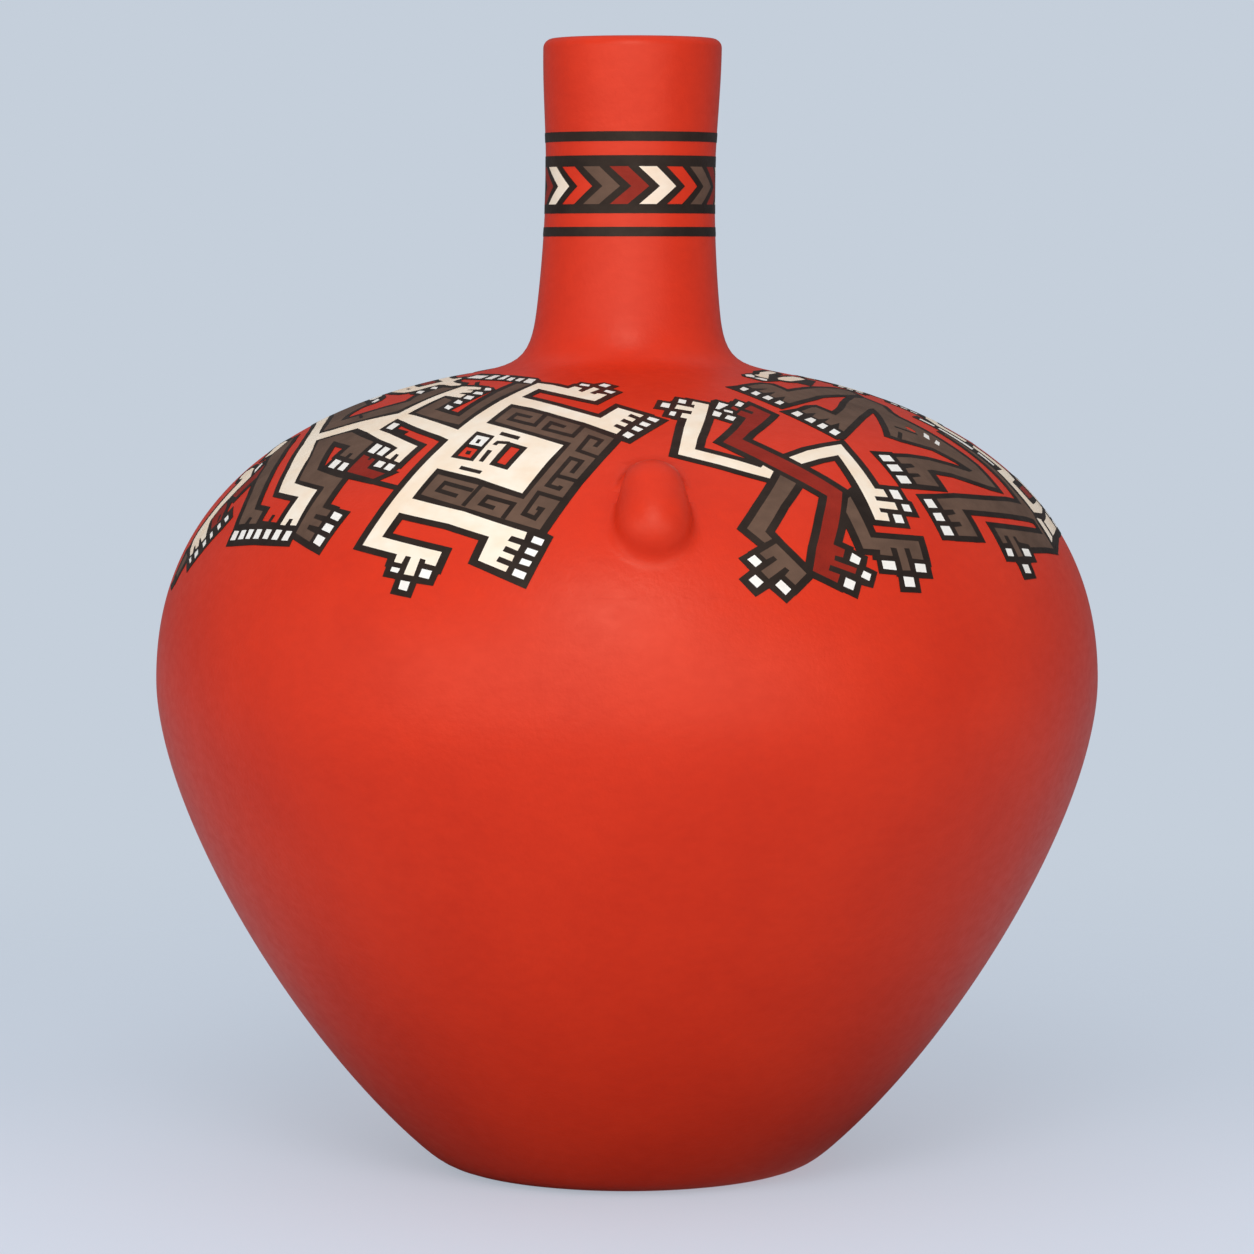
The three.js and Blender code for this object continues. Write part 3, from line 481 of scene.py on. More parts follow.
# Claws and eyes
WHITES = [
    [-13.7, 90, -10.8, 89, -10.9, 87.8, -14, 88.7], [-6.9, 90.1, -4.6, 88.8, -5.9, 87.2, -8.3, 88.7],
    [-5.5, 85.4, -2.9, 84.1, -4, 82.9, -6, 84.4], [4.4, 70.6, 6.2, 69.3, 5.3, 68.1, 3.8, 69.6],
    [3, 68.5, 4.4, 67.3, 3.5, 66.2, 2.2, 67.3], [1.5, 66.7, 2.9, 65.3, 2, 64.3, 0.8, 65.4],
    [0.1, 64.4, 1.3, 63.1, 0.2, 61.8, -0.8, 63], [-26.7, 62.5, -23.9, 61.6, -24.3, 58.5, -26.9, 59.3],
    [-11.7, 35, -10.3, 34.2, -10.6, 32.9, -12, 33.7], [-12.3, 32.5, -10.9, 31.8, -11.3, 30.6, -12.6, 31.4],
    [-12.8, 30.3, -11.5, 29.6, -11.8, 28.6, -13.1, 29.2], [-13.5, 28.2, -12, 27.3, -12.3, 26, -13.8, 26.9],
    [-29.6, 27.9, -28.4, 27.6, -28.6, 26.7, -29.7, 27], [-25.4, 27.7, -24, 27.3, -24.2, 25.7, -25.6, 26.1],
    [-27.9, 25.3, -26.6, 25, -26.8, 23.2, -28, 23.6], [-48.9, 66.4, -46.6, 65.9, -46.6, 63.6, -48.7, 64.1],
    [-45.8, 58.5, -43.9, 57.8, -44, 55.1, -45.8, 55.7], [-43.1, 57.6, -41.4, 56.9, -41.7, 54.5, -43.3, 55.1],
    [-41.3, 53.1, -39.6, 52.6, -39.8, 51, -41.5, 51.4], [-38.8, 52.4, -37.3, 51.9, -37.5, 50.2, -39, 50.7],
    [-51.4, 52.9, -49.5, 52.4, -49.6, 50.1, -51.3, 50.5], [-48.6, 52.1, -47.1, 51.8, -47, 49.6, -48.6, 50],
    [-62.4, 33.1, -61, 33.2, -60.7, 31.2, -62.1, 31], [-60.3, 33.4, -59.1, 33.6, -58.7, 31.6, -60, 31.4],
    [-58.4, 33.8, -57.2, 33.9, -57, 31.8, -58.1, 31.7], [-56.4, 34, -55.2, 34.1, -54.9, 32, -56.2, 31.9],
    [-54.2, 34.2, -52.9, 34.2, -52.8, 32.1, -54, 32.1], [-51.9, 34.3, -50.6, 34.3, -50.6, 32.1, -51.9, 32.1],
    [-49.6, 34.2, -48.4, 34.2, -48.4, 32.1, -49.7, 32.1], [-42.5, 39.2, -40.7, 38.5, -40.9, 37, -42.6, 37.7],
    [-42.8, 36.5, -41.1, 35.9, -41.3, 34.3, -43, 35], [-43.2, 33.9, -41.6, 33.2, -41.9, 31.3, -43.4, 32.1],
    [-41.8, 85.8, -39.6, 85.6, -38, 84.2, -40.2, 84], [-42, 83.2, -39.2, 82.8, -38, 81.3, -41.6, 81.8],
    [-42, 80.7, -39.2, 80.2, -38.6, 78.4, -41.4, 78.9], [-42.2, 78.2, -39.8, 77.2, -39.2, 75.8, -41.8, 76.4],
    [-42.4, 75.3, -39.8, 74.3, -39.8, 72.9, -41.8, 73.7], [-65.6, 85.2, -62.4, 85, -60.2, 83.8, -64, 83.8],
    [-66.4, 82.2, -63, 82.3, -60.8, 80.6, -64.6, 80.9], [-79.1, 76.2, -75, 75.9, -73.6, 74.6, -76, 74.3],
    [-89.4, 77.6, -84, 77.5, -81, 75.8, -83, 75, -89.4, 74.9, -90.6, 76.2],
    [-96, 69.3, -98.2, 69.3, -98, 67.8, -96, 67.8], [-96, 71.4, -98.2, 71.4, -98.2, 70, -96, 70],
    [-96, 73.5, -98, 73.5, -98.2, 72.1, -96, 72.1], [-97.4, 80.7, -99.9, 80.6, -99.7, 79.3, -97.4, 79.3],
    [-97.4, 82.6, -99.9, 82.5, -99.9, 81.3, -97.4, 81.4],
    [-97.2, 84.5, -99.7, 84.3, -99.9, 83.2, -97.4, 83.3], [83.2, 33.4, 85.6, 33.5, 85.6, 31.9, 83.2, 31.8],
    [83.2, 35.8, 85.6, 35.9, 85.6, 34.3, 83.2, 34.2], [-34.8, 93.6, -31.2, 93, -29.8, 89.6, -33.6, 90.5],
    [-39.1, 93.8, -36.3, 93.5, -35.5, 91, -38.2, 91.7], [-43.6, 94.2, -40.9, 93.9, -39.5, 91.4, -42.3, 92],
    [-48.9, 95.8, -46.6, 95.5, -44.1, 92.4, -47.1, 92.3],
    [-55.6, 95.5, -51.9, 95.5, -49.6, 92.2, -53.6, 92.3], [-67, 94.8, -58, 95, -56, 92.4, -66, 92.4],
    [-76.9, 49.7, -75.6, 49.4, -74.2, 46.9, -75.9, 47.6],
    [-68.4, 36.3, -67.2, 35.5, -67.4, 34.6, -68.8, 35.3],
    [-69.4, 34.4, -68.1, 33.5, -68.3, 32.7, -69.7, 33.5], [-70.4, 32.3, -69, 31.3, -69.3, 30.6, -70.7, 31.6],
    [-71.2, 30.4, -70, 29.5, -70.3, 28.6, -71.6, 29.4], [-72.4, 28.1, -71.2, 27.2, -71.6, 26.1, -73, 27],
    [-74.1, 26.3, -72.8, 25.4, -73, 24.9, -74.4, 25.6], [8, 77.7, 9.6, 77, 8.8, 74.8, 7.1, 75.6],
    [12.2, 79.6, 13.7, 78.8, 12.9, 76.9, 11.4, 77.6], [9, 73.2, 10.1, 72.8, 9.3, 70.9, 8.3, 71.5],
    [26, 77.9, 26.7, 76.7, 24.9, 75, 23.9, 75.8], [21, 77.6, 22.6, 76.1, 20.4, 74.6, 19.5, 73.9, 18.8, 74.3],
    [20.5, 73.8, 22.1, 72.8, 21.6, 71.9, 20.2, 72.9], [18.2, 73.3, 19.4, 72, 18.2, 70.3, 17, 71.1],
    [20.3, 71.1, 21.6, 70, 20.4, 68.5, 19.1, 69.7], [15.7, 30.9, 16.5, 29.4, 15.6, 28.4, 14.7, 30],
    [15.4, 26.9, 16.3, 25.4, 15.4, 24.3, 14.5, 25.9], [18.5, 25.8, 19.6, 23.9, 18.8, 22.8, 17.7, 24.8],
    [28.8, 30.8, 29.8, 29.6, 29.2, 28.3, 28.1, 29.2], [29.7, 27.1, 30.6, 26.3, 30.1, 25, 29.1, 25.9],
    [27, 25.9, 28.2, 24.9, 27.6, 23.3, 26.4, 24.2], [32.7, 29, 34.6, 28.7, 34.5, 26.9, 32.6, 27.3],
    [37.6, 28.1, 39.2, 27.8, 39, 26.1, 37.4, 26.4], [35.2, 25.6, 36.7, 25.3, 36.6, 23.4, 35.1, 23.6],
    [39.5, 44.9, 41, 44.6, 40.8, 42.2, 39.3, 42.6], [40, 41.2, 41.3, 40.9, 41.1, 39.2, 39.8, 39.5],
    [37.5, 38.9, 38.9, 38.6, 38.7, 36.7, 37.3, 36.9], [31.6, 85.4, 34.2, 86.9, 34.6, 85.3, 31.7, 84],
    [32.6, 82.6, 35.4, 83.9, 35.6, 82.4, 33, 81.1], [33.7, 79.9, 36.4, 81, 36.6, 79.4, 34.2, 78.3],
    [34.7, 76.9, 37.2, 78, 37.4, 76.8, 35.2, 75.7], [34.8, 71.4, 37.3, 72.4, 37.6, 71, 35.3, 69.8],
    [36, 68.5, 38.3, 69.3, 38.7, 68.2, 36.6, 66.9], [37, 65.8, 39.2, 66.8, 39.6, 65.6, 37.5, 64.4],
    [38, 63.2, 40.1, 64.4, 40.5, 62.9, 38.5, 61.8], [43.3, 54.8, 45.6, 54.5, 45.4, 52.6, 43, 52.8],
    [43, 51.8, 45.3, 51.6, 45.1, 49.6, 42.8, 49.8], [42.9, 48.6, 45, 48.3, 44.8, 46.2, 42.7, 46.4],
    [44.8, 42.1, 46.4, 42, 46.4, 39.8, 44.7, 40], [44.8, 38.7, 46.4, 38.6, 46.3, 36.7, 44.7, 36.9],
    [44.8, 35.7, 46.5, 35.5, 46.5, 33.4, 44.7, 33.6], [56, 29.8, 57.4, 29.6, 57.2, 28, 55.8, 28.2],
    [60.2, 29.4, 62, 29.1, 61.9, 27.5, 60.1, 27.8], [58.3, 26.2, 59.8, 26, 59.8, 24.2, 58.3, 24.4],
    [61.9, 59.9, 64.2, 61.2, 64.2, 60, 62.1, 58.6], [62.3, 57.5, 64.5, 58.4, 64.5, 57.5, 62.5, 56.5],
    [74.4, 66.1, 76, 66.2, 76.4, 63, 74.8, 63], [75, 62, 76.6, 62, 77, 54.2, 75.2, 54.2],
    [75.8, 53, 77.2, 53, 76.8, 49, 75.6, 49], [47, 95.2, 49.5, 96.6, 53, 96.5, 51.5, 95, 48.5, 94],
    [48, 93.9, 51, 93.3, 51.5, 92, 49.3, 90.9, 48.2, 91.5],
]
REDS = [
    [-27, 58.4, -24.6, 57.6, -24.9, 54.7, -27.4, 55.4], [-19.1, 58.7, -17.4, 57.9, -18.6, 52.8, -20.1, 53.5],
    [60.5, 63, 61.2, 64.2, 62.2, 63.6, 62.1, 62, 61, 61.4],
]
# Black areas over the fills, and under the reds and whites
UNDER = [
    [-27.4, 64, -23.2, 62.3, -24.1, 53.7, -28.4, 54.8], [-20, 60.3, -16.2, 58.4, -17.9, 51.3, -21.2, 52.8],
    [-22.5, 64, -18.4, 62.2, -18.6, 61, -22.6, 62.8], [-22.8, 57.5, -21.9, 57.2, -22.4, 53.5, -23.2, 53.8],
    [-25.6, 52.3, -21.7, 50.9, -21.9, 50, -25.7, 51.3],
]
PUPILS = [
    [-25.9, 61.1, -25.2, 60.9, -25.2, 59.5, -25.9, 59.7],
    [-26.3, 57.1, -25.5, 56.9, -25.5, 55.9, -26.3, 56.1],
]
# Brush strokes: width, and the line that the brush followed
STROKES = [
    (1.1, [-18.8, 70.1, -22.5, 71.6, -23, 69.2, -17.1, 66.7, -16.3, 71.4]),
    (1.1, [-11.2, 66.1, -14.3, 67.9, -14.9, 65.3, -9.3, 62.6, -7.9, 66.8]),
    (1.0, [-5.2, 58.8, -4.3, 61.1, -6.4, 62.5, -7.8, 57.6, -4.4, 55.3]),
    (1.0, [-8.1, 50.6, -6.9, 54.1, -8.7, 55.1, -11.2, 47.2, -9.5, 46.3, -9.2, 47]),
    (1.0, [-10, 49.8, -7, 48.3]),
    (1.0, [-12, 41.4, -11.3, 41.1, -12, 39, -13.6, 40, -12.2, 45.2, -8.8, 43.5]),
    (1.0, [-17.8, 41.2, -19.9, 42.2, -19.3, 44, -15.3, 42.3, -16.3, 38.8]),
    (1.0, [-23.8, 44, -27.2, 45.4, -26.7, 47.4, -21.8, 45.5]),
    (1.0, [-20.9, 46.8, -22.4, 41.6]),
    (1.0, [-22.2, 59.1, -21.9, 60.1, -19.8, 59.9]),
    (1.1, [-45.6, 63.6, -42.1, 62.7]),
    (1.2, [-46, 48.9, -42, 47.9, -34, 45.7]),
    (0.8, [-43.7, 54.4, -43.7, 53.2]),
    (0.9, [-54.7, 37.5, -54.7, 35.3]),
    (0.7, [-65.6, 68.8, -62.2, 67.6]),
    (0.9, [-51.8, 89.8, -46.8, 86.8]),
    (0.6, [-80.5, 82.5, -76, 82.5]),
    (0.9, [53.3, 59.8, 56.3, 62]),
    (0.9, [57.4, 64.2, 60.8, 60.8]),
    (0.8, [-71.9, 36, -70.8, 34.4]),
    (1.0, [72.2, 27.6, 75, 29.2, 78, 30.4, 87, 30.8]),
]

# Brush widths of the black outlines, across and up the wall
OUTLINE_ACROSS = 1.7
OUTLINE_UP = 1.27
POINTED = 2.5  # how far a mitred corner may run out, in outline widths
BLUNTED = 0.6  # and how far a corner runs out that would be longer
FRIEZE_START, FRIEZE_REPEAT = -99.0, 180.0
FRIEZE_END = FRIEZE_START + FRIEZE_REPEAT
FRIEZE_HEIGHTS, NECK_HEIGHTS = (16, 100), (128, 154)
FRIEZE_MM, NECK_MM = 1.25, 0.295  # mm across the wall for a degree of azimuth
PAINT = 0.1  # how far dry slip stands proud of the wall
PAINT_DEEP = 0.25
PAINT_SPACING = 3.2  # of the mesh of a painted field
EDGE_SPACING = 2.4
CUT_MERGE = 1e-4  # mm within which two corners of the outlines are one


def pairs(numbers):
    return np.array(numbers, float).reshape(-1, 2)


def wider(points, across=OUTLINE_ACROSS, upward=OUTLINE_UP, closed=True):
    """An outline moved outwards by a brush width, with pointed corners."""
    radius = section_at(points[:, 1])[0]
    scale = np.stack([radius * math.pi / 180 / across, np.full(len(points), 1 / upward)], -1)
    made = []
    count = len(points)
    for i in range(count):
        here = points[i]
        way_in, way_out = None, None
        if closed or i > 0:
            way_in = (here - points[i - 1]) * scale[i]
        if closed or i < count - 1:
            way_out = (points[(i + 1) % count] - here) * scale[i]
        way_in = way_out if way_in is None else way_in
        way_out = way_in if way_out is None else way_out
        way_in, way_out = way_in / np.linalg.norm(way_in), way_out / np.linalg.norm(way_out)
        side_in, side_out = (np.array([w[1], -w[0]]) for w in (way_in, way_out))
        spread = 1 + side_in @ side_out
        if spread > 2 / POINTED**2:
            made.append(here + (side_in + side_out) / spread / scale[i])
        else:
            made.append(here + (side_in + BLUNTED * way_in) / scale[i])
            made.append(here + (side_out - BLUNTED * way_out) / scale[i])
    return made


def anticlockwise(outline):
    points = pairs(outline)
    x, y = points.T
    area = (x * np.roll(y, -1) - np.roll(x, -1) * y).sum()
    return points if area > 0 else points[::-1]


def brushed(width, line):
    """The outline of a brush stroke along a line."""
    half = width / 2
    return [corner for way in (line, line[::-1]) for corner in wider(way, half, half, closed=False)]


def inside_of(outline, points):
    """Which points an outline winds round."""
    x, y = points.T
    winds = np.zeros(len(points), int)
    for (x0, y0), (x1, y1) in zip(outline, np.roll(outline, -1, axis=0)):
        side = (x1 - x0) * (y - y0) - (x - x0) * (y1 - y0)
        winds += (y0 <= y) & (y < y1) & (side > 0)
        winds -= (y1 <= y) & (y < y0) & (side < 0)
    return winds > 0


def finely(outline, across):
    """An outline with no step longer than the edge spacing."""
    made = []
    for a, b in zip(outline, np.roll(outline, -1, axis=0)):
        count = max(1, math.ceil(np.hypot((b[0] - a[0]) * across, b[1] - a[1]) / EDGE_SPACING))
        made += [a + (b - a) * i / count for i in range(count)]
    return made


def painted_fields(layers, start, end, heights, across):
    """Cuts a stretch of wall along all outlines, and sorts the triangles by the colour on top.

    layers is a list of (colour, outline), the last one painted last.
    """
    corners, edges = [], []

    def run(points, closed=True):
        first = len(corners)
        corners.extend(Vector((x * across, y)) for x, y in points)
        count = len(points)
        edges.extend((first + i, first + (i + 1) % count) for i in range(count if closed else count - 1))

    low, high = heights
    levels = np.linspace(low, high, round((high - low) / PAINT_SPACING) + 1)
    for _, outline in layers:
        run(finely(outline, across))
    for azimuth in (start, end):
        run([(azimuth, up) for up in levels], closed=False)
    columns = round((end - start) * across / PAINT_SPACING)
    for i in range(1, columns):
        for j, up in enumerate(levels):
            step = min(i + 0.5 * (j % 2), columns - 0.5)
            corners.append(Vector(((start + (end - start) * step / columns) * across, up)))
    points, _, triangles, *_ = delaunay_2d_cdt(corners, edges, [], 0, CUT_MERGE)
    points = np.array([(p.x / across, p.y) for p in points])
    triangles = np.array(triangles)
    middles = points[triangles].mean(1)
    kept = (middles[:, 0] > start) & (middles[:, 0] < end)
    triangles, middles = triangles[kept], middles[kept]
    colours = np.full(len(triangles), "", dtype=object)
    for colour, outline in layers:
        near = np.all((middles >= outline.min(0)) & (middles <= outline.max(0)), axis=1)
        found = np.flatnonzero(near)
        colours[found[inside_of(outline, middles[found])]] = colour
    return points, triangles, colours


def painted_piece(name, colour, fields, turns=(0.0,)):
    """One colour of slip as a thin skin on the wall, once for each turn round the pot."""
    points, triangles, colours = fields
    mine = triangles[colours == colour]
    used, mine = np.unique(mine, return_inverse=True)
    mine = mine.reshape(-1, 3)
    corners = np.vstack([on_wall(points[used, 0] + turn, points[used, 1], PAINT) for turn in turns])
    faces = np.vstack([mine + i * len(used) for i in range(len(turns))])
    mesh = bpy.data.meshes.new(name)
    mesh.from_pydata((corners * MM).tolist(), [], faces.tolist())
    piece = bpy.data.objects.new(name, mesh)
    bpy.context.scene.collection.objects.link(piece)
    deselect_all()
    piece.select_set(True)
    bpy.context.view_layer.objects.active = piece
    edit_all()
    bpy.ops.mesh.remove_doubles(threshold=PAINT_MERGE)
    object_mode()
    skin = piece.modifiers.new("skin", "SOLIDIFY")
    skin.thickness = PAINT_DEEP * MM
    skin.offset = -1
    bpy.ops.object.modifier_apply(modifier=skin.name)
    shade_as_wall(piece)
    return piece


def frieze_layers():
    """All that is painted on one half of the shoulder, the last on top."""
    once = [(BLACK, wider(anticlockwise(shape))) for _, shape in FILLS]
    once += [(BLACK, shape) for shape in BLACKS]
    once += FILLS
    once += [(BLACK, shape) for shape in UNDER]
    once += [(BLACK, brushed(width, pairs(line))) for width, line in STROKES]
    for colour, shapes in ((WHITE, WHITES), (RED, REDS), (BLACK, PUPILS)):
        once += [(colour, shape) for shape in shapes]
    layers = []
    for colour, shape in once:
        shape = anticlockwise(shape)
        for shift in (-FRIEZE_REPEAT, 0, FRIEZE_REPEAT):
            moved = shape + (shift, 0)
            if moved[:, 0].max() > FRIEZE_START and moved[:, 0].min() < FRIEZE_END:
                layers.append((colour, moved))
    return layers


# The neck: two stripes and a band, and the chevrons on it, in mm up the wall
NECK_STRIPES = [(130.7, 132.55), (149.25, 151.15)]
NECK_BAND = (135.2, 146.5)
CHEVRON_LOW, CHEVRON_TIP, CHEVRON_HIGH = 137.0, 140.5, 144.35
CHEVRON_CORNERS = [CHEVRON_TIP, CHEVRON_HIGH, CHEVRON_HIGH, CHEVRON_TIP, CHEVRON_LOW, CHEVRON_LOW]
CHEVRON_BEHIND = np.array([0, 14.3, 26.6, 11.9, 25.9, 14.2])  # degrees from the tip back to each corner
CHEVRON_FIRST, CHEVRON_DRIFT = 12.6, 4.6  # azimuth of the first tip, and how far the even spacing is off
CHEVRON_COUNT = 20
CHEVRON_COLOURS = [MAROON, CREAM, RED, BROWN]
PAST_SEAM = 181  # degrees: the stripes run a little past the seam at the back, and are cut there


def chevron(tip):
    """Points of a chevron, by the azimuth of its tip."""
    return np.stack([tip - CHEVRON_BEHIND, CHEVRON_CORNERS], -1)


def neck_layers():
    """The chevrons were spaced a little wider on the lug's side than behind."""
    layers = []
    for low, high in [*NECK_STRIPES, NECK_BAND]:
        layers.append((BLACK, pairs([-PAST_SEAM, low, PAST_SEAM, low, PAST_SEAM, high, -PAST_SEAM, high])))
    for i in range(CHEVRON_COUNT):
        turn = 360 / CHEVRON_COUNT * i
        tip = CHEVRON_FIRST + turn + CHEVRON_DRIFT * math.sin(math.radians(turn))
        colour = CHEVRON_COLOURS[i % len(CHEVRON_COLOURS)]
        for shift in (-360, 0, 360):
            moved = anticlockwise(chevron(tip + shift))
            if moved[:, 0].max() > -180 and moved[:, 0].min() < 180:
                layers.append((colour, moved))
    return layers


# The lug: a thumb of clay smoothed onto the wall, with a dent pressed in on each side of its root
LUG_AZIMUTH = 3.4
LUG_UP = 40.9
LUG_TILT = 12.0  # degrees of its outward axis above level
LUG_PATCH = (30.0, 34.0)  # breadth and height of the wall that is modelled with it
# Across, up and out from its seat, and radius
LUG_THUMB = [(0.0, 3.4, -1.5, 6.3), (0.0, 0.2, 0.7, 5.9), (0.0, -3.3, 1.5, 7.1)]
LUG_DENTS = [(6.3, 3.1, -1.1, 1.4), (6.5, 4.5, -1.2, 1.6), (6.3, 6.2, -0.8, 1.6)]
LUG_RUN = 2.4  # how widely the clay of the thumb runs together
LUG_BLEND = [(-6, 2.6), (-2, 1.8), (3, 1.2), (6, 2.4), (10, 6.0)]  # and into the wall, by height
DENT_BLEND = 0.7
LUG_LIFT = 0.02
LUG_DEEP = 2.5
LUG_STEP = 0.4
LUG_APPROACH, LUG_PACE, LUG_STEPS_IN = 16.0, 0.8, 60  # how a point is brought onto the clay from outside
LUG_EVENINGS, LUG_EVENED = 160, 0.7


def lug_axes():
    turn, tilt = math.radians(LUG_AZIMUTH), math.radians(LUG_TILT)
    across = np.array([math.cos(turn), math.sin(turn), 0])
    level = np.array([math.sin(turn), -math.cos(turn), 0])
    out = math.cos(tilt) * level + np.array([0, 0, math.sin(tilt)])
    return on_wall(LUG_AZIMUTH, LUG_UP), across, np.cross(out, across), out


def off_wall(points):
    """Distance of points from the outer face, outwards."""
    radius = np.hypot(points[:, 0] - lean_at(points[:, 2]), points[:, 1])
    up = np.interp(points[:, 2], FACE_HEIGHT, FACE_UP)
    for _ in range(4):
        r, z, out_r, out_z = section_at(up)
        up = up + (radius - r) * -out_z + (points[:, 2] - z) * out_r
    r, z, out_r, out_z = section_at(up)
    return (radius - r) * out_r + (points[:, 2] - z) * out_z


def run_together(a, b, width):
    """Distance from two shapes as one, smoothed over a width where they meet."""
    return np.minimum(a, b) - np.maximum(width - np.abs(a - b), 0) ** 2 / (4 * width)


def off_lug(points):
    seat, across, up, out = lug_axes()

    def off_balls(balls, width, side=1):
        together = None
        for x, y, z, radius in balls:
            ball = np.linalg.norm(points - (seat + side * x * across + y * up + z * out), axis=1) - radius
            together = ball if together is None else run_together(together, ball, width)
        return together

    width = np.interp((points - seat) @ up, *zip(*LUG_BLEND))
    clay = run_together(off_wall(points), off_balls(LUG_THUMB, LUG_RUN), width)
    for side in (-1, 1):
        clay = -run_together(-clay, off_balls(LUG_DENTS, 1.0, side), DENT_BLEND)
    return clay - LUG_LIFT


def slope_of(distance, points, step=0.05):
    """The way out of a shape that is given by the distance from it."""
    moves = step * np.eye(3)
    slopes = np.stack([distance(points + move) - distance(points - move) for move in moves], -1)
    return slopes / np.linalg.norm(slopes, axis=1)[:, None]


def shoulder_lug():
    """A sheet of small faces pressed onto the lug from outside, then evened out, with a closed back."""
    seat, across, up, out = lug_axes()
    breadth, height = LUG_PATCH
    columns, rows = round(breadth / LUG_STEP), round(height / LUG_STEP)
    deselect_all()
    bpy.ops.mesh.primitive_grid_add(x_subdivisions=columns, y_subdivisions=rows, size=1)
    lug = bpy.context.object
    lug.name = lug.data.name = "shoulder_lug_clay"
    edit_all()
    bpy.ops.mesh.extrude_region_move(TRANSFORM_OT_translate={"value": (0, 0, 1)})
    bpy.ops.mesh.select_all(action="SELECT")
    bpy.ops.mesh.normals_make_consistent(inside=False)
    object_mode()
    flat = (places(lug) * MM).round(5)
    order = np.lexsort((flat[:, 0], flat[:, 1], flat[:, 2] < 0.5))
    front, back = order[: len(order) // 2], order[len(order) // 2 :]
    sheet = seat + flat[front, :1] * breadth * across + flat[front, 1:2] * height * up
    sides = {}
    for name, distance in (("front", off_lug), ("back", off_wall)):
        reach = np.full(len(sheet), LUG_APPROACH)
        for _ in range(LUG_STEPS_IN):
            reach -= LUG_PACE * distance(sheet + reach[:, None] * out)
        sides[name] = sheet + reach[:, None] * out
    net = sides["front"].reshape(rows + 1, columns + 1, 3)
    for _ in range(LUG_EVENINGS):
        middle = (net[:-2, 1:-1] + net[2:, 1:-1] + net[1:-1, :-2] + net[1:-1, 2:]) / 4
        loose = ((1 - LUG_EVENED) * net[1:-1, 1:-1] + LUG_EVENED * middle).reshape(-1, 3)
        loose -= off_lug(loose)[:, None] * slope_of(off_lug, loose)
        net[1:-1, 1:-1] = loose.reshape(rows - 1, columns - 1, 3)
    made = np.empty_like(flat)
    made[front] = net.reshape(-1, 3)
    made[back] = sides["back"] - LUG_DEEP * out
    set_places(lug, made)
    bpy.ops.object.shade_smooth_by_angle(angle=SHARP_LUG)
    way = np.zeros_like(made)
    way[front] = slope_of(off_lug, made[front])
    corners, owner = corners_of(lug.data)
    hold_normals(lug.data, way, np.isin(corners, front), corners, owner)
    return lug


# Materials


def linear(colour):
    """Linear red, green, blue and alpha of an sRGB hex value."""
    parts = [int(colour[i : i + 2], 16) / 255 for i in (1, 3, 5)]
    return [p / 12.92 if p <= 0.04045 else ((p + 0.055) / 1.055) ** 2.4 for p in parts] + [1.0]


def add(tree, kind, settings=None, links=None):
    """A shader node. A setting is one of its properties or an input's value.

    A link comes from an output, or from the first output of a node.
    """
    node = tree.nodes.new("ShaderNode" + kind)
    for name, value in (settings or {}).items():
        if isinstance(name, int) or name in node.inputs:
            node.inputs[name].default_value = value
        else:
            setattr(node, name, value)
    for name, source in (links or {}).items():
        socket = source.outputs[0] if isinstance(source, bpy.types.Node) else source
        tree.links.new(socket, node.inputs[name])
    return node


def ramp(tree, value, start, end, first, last, kind="LINEAR"):
    """A value that goes from first to last while another goes from start to end."""
    limits = {"From Min": start, "From Max": end, "To Min": first, "To Max": last}
    return add(tree, "MapRange", {"interpolation_type": kind, **limits}, {"Value": value})


def tone_between(tree, share, one, other):
    """A colour between two that are hex values."""
    ends = {"data_type": "RGBA", 6: linear(one), 7: linear(other)}
    return add(tree, "Mix", ends, {0: share}).outputs[2]


def new_material(name):
    material = bpy.data.materials.new(name)
    material.use_nodes = True
    material.node_tree.nodes.clear()
    return material, material.node_tree


def per_metre(size):
    """Scale of a pattern whose features are a size in mm apart, on coordinates in metres."""
    return 1000 / size


TRACK_SPACING = 1.8  # mm between the tracks of the pebble
TRACK_STRETCH = (0.6, 0.6, 1.0)
# The real grain is about 0.3 mm, too fine to show, so it is drawn three times as coarse
GRAIN = 0.9
GRAIN_RELIEF = 3.0  # times the relief of the tracks


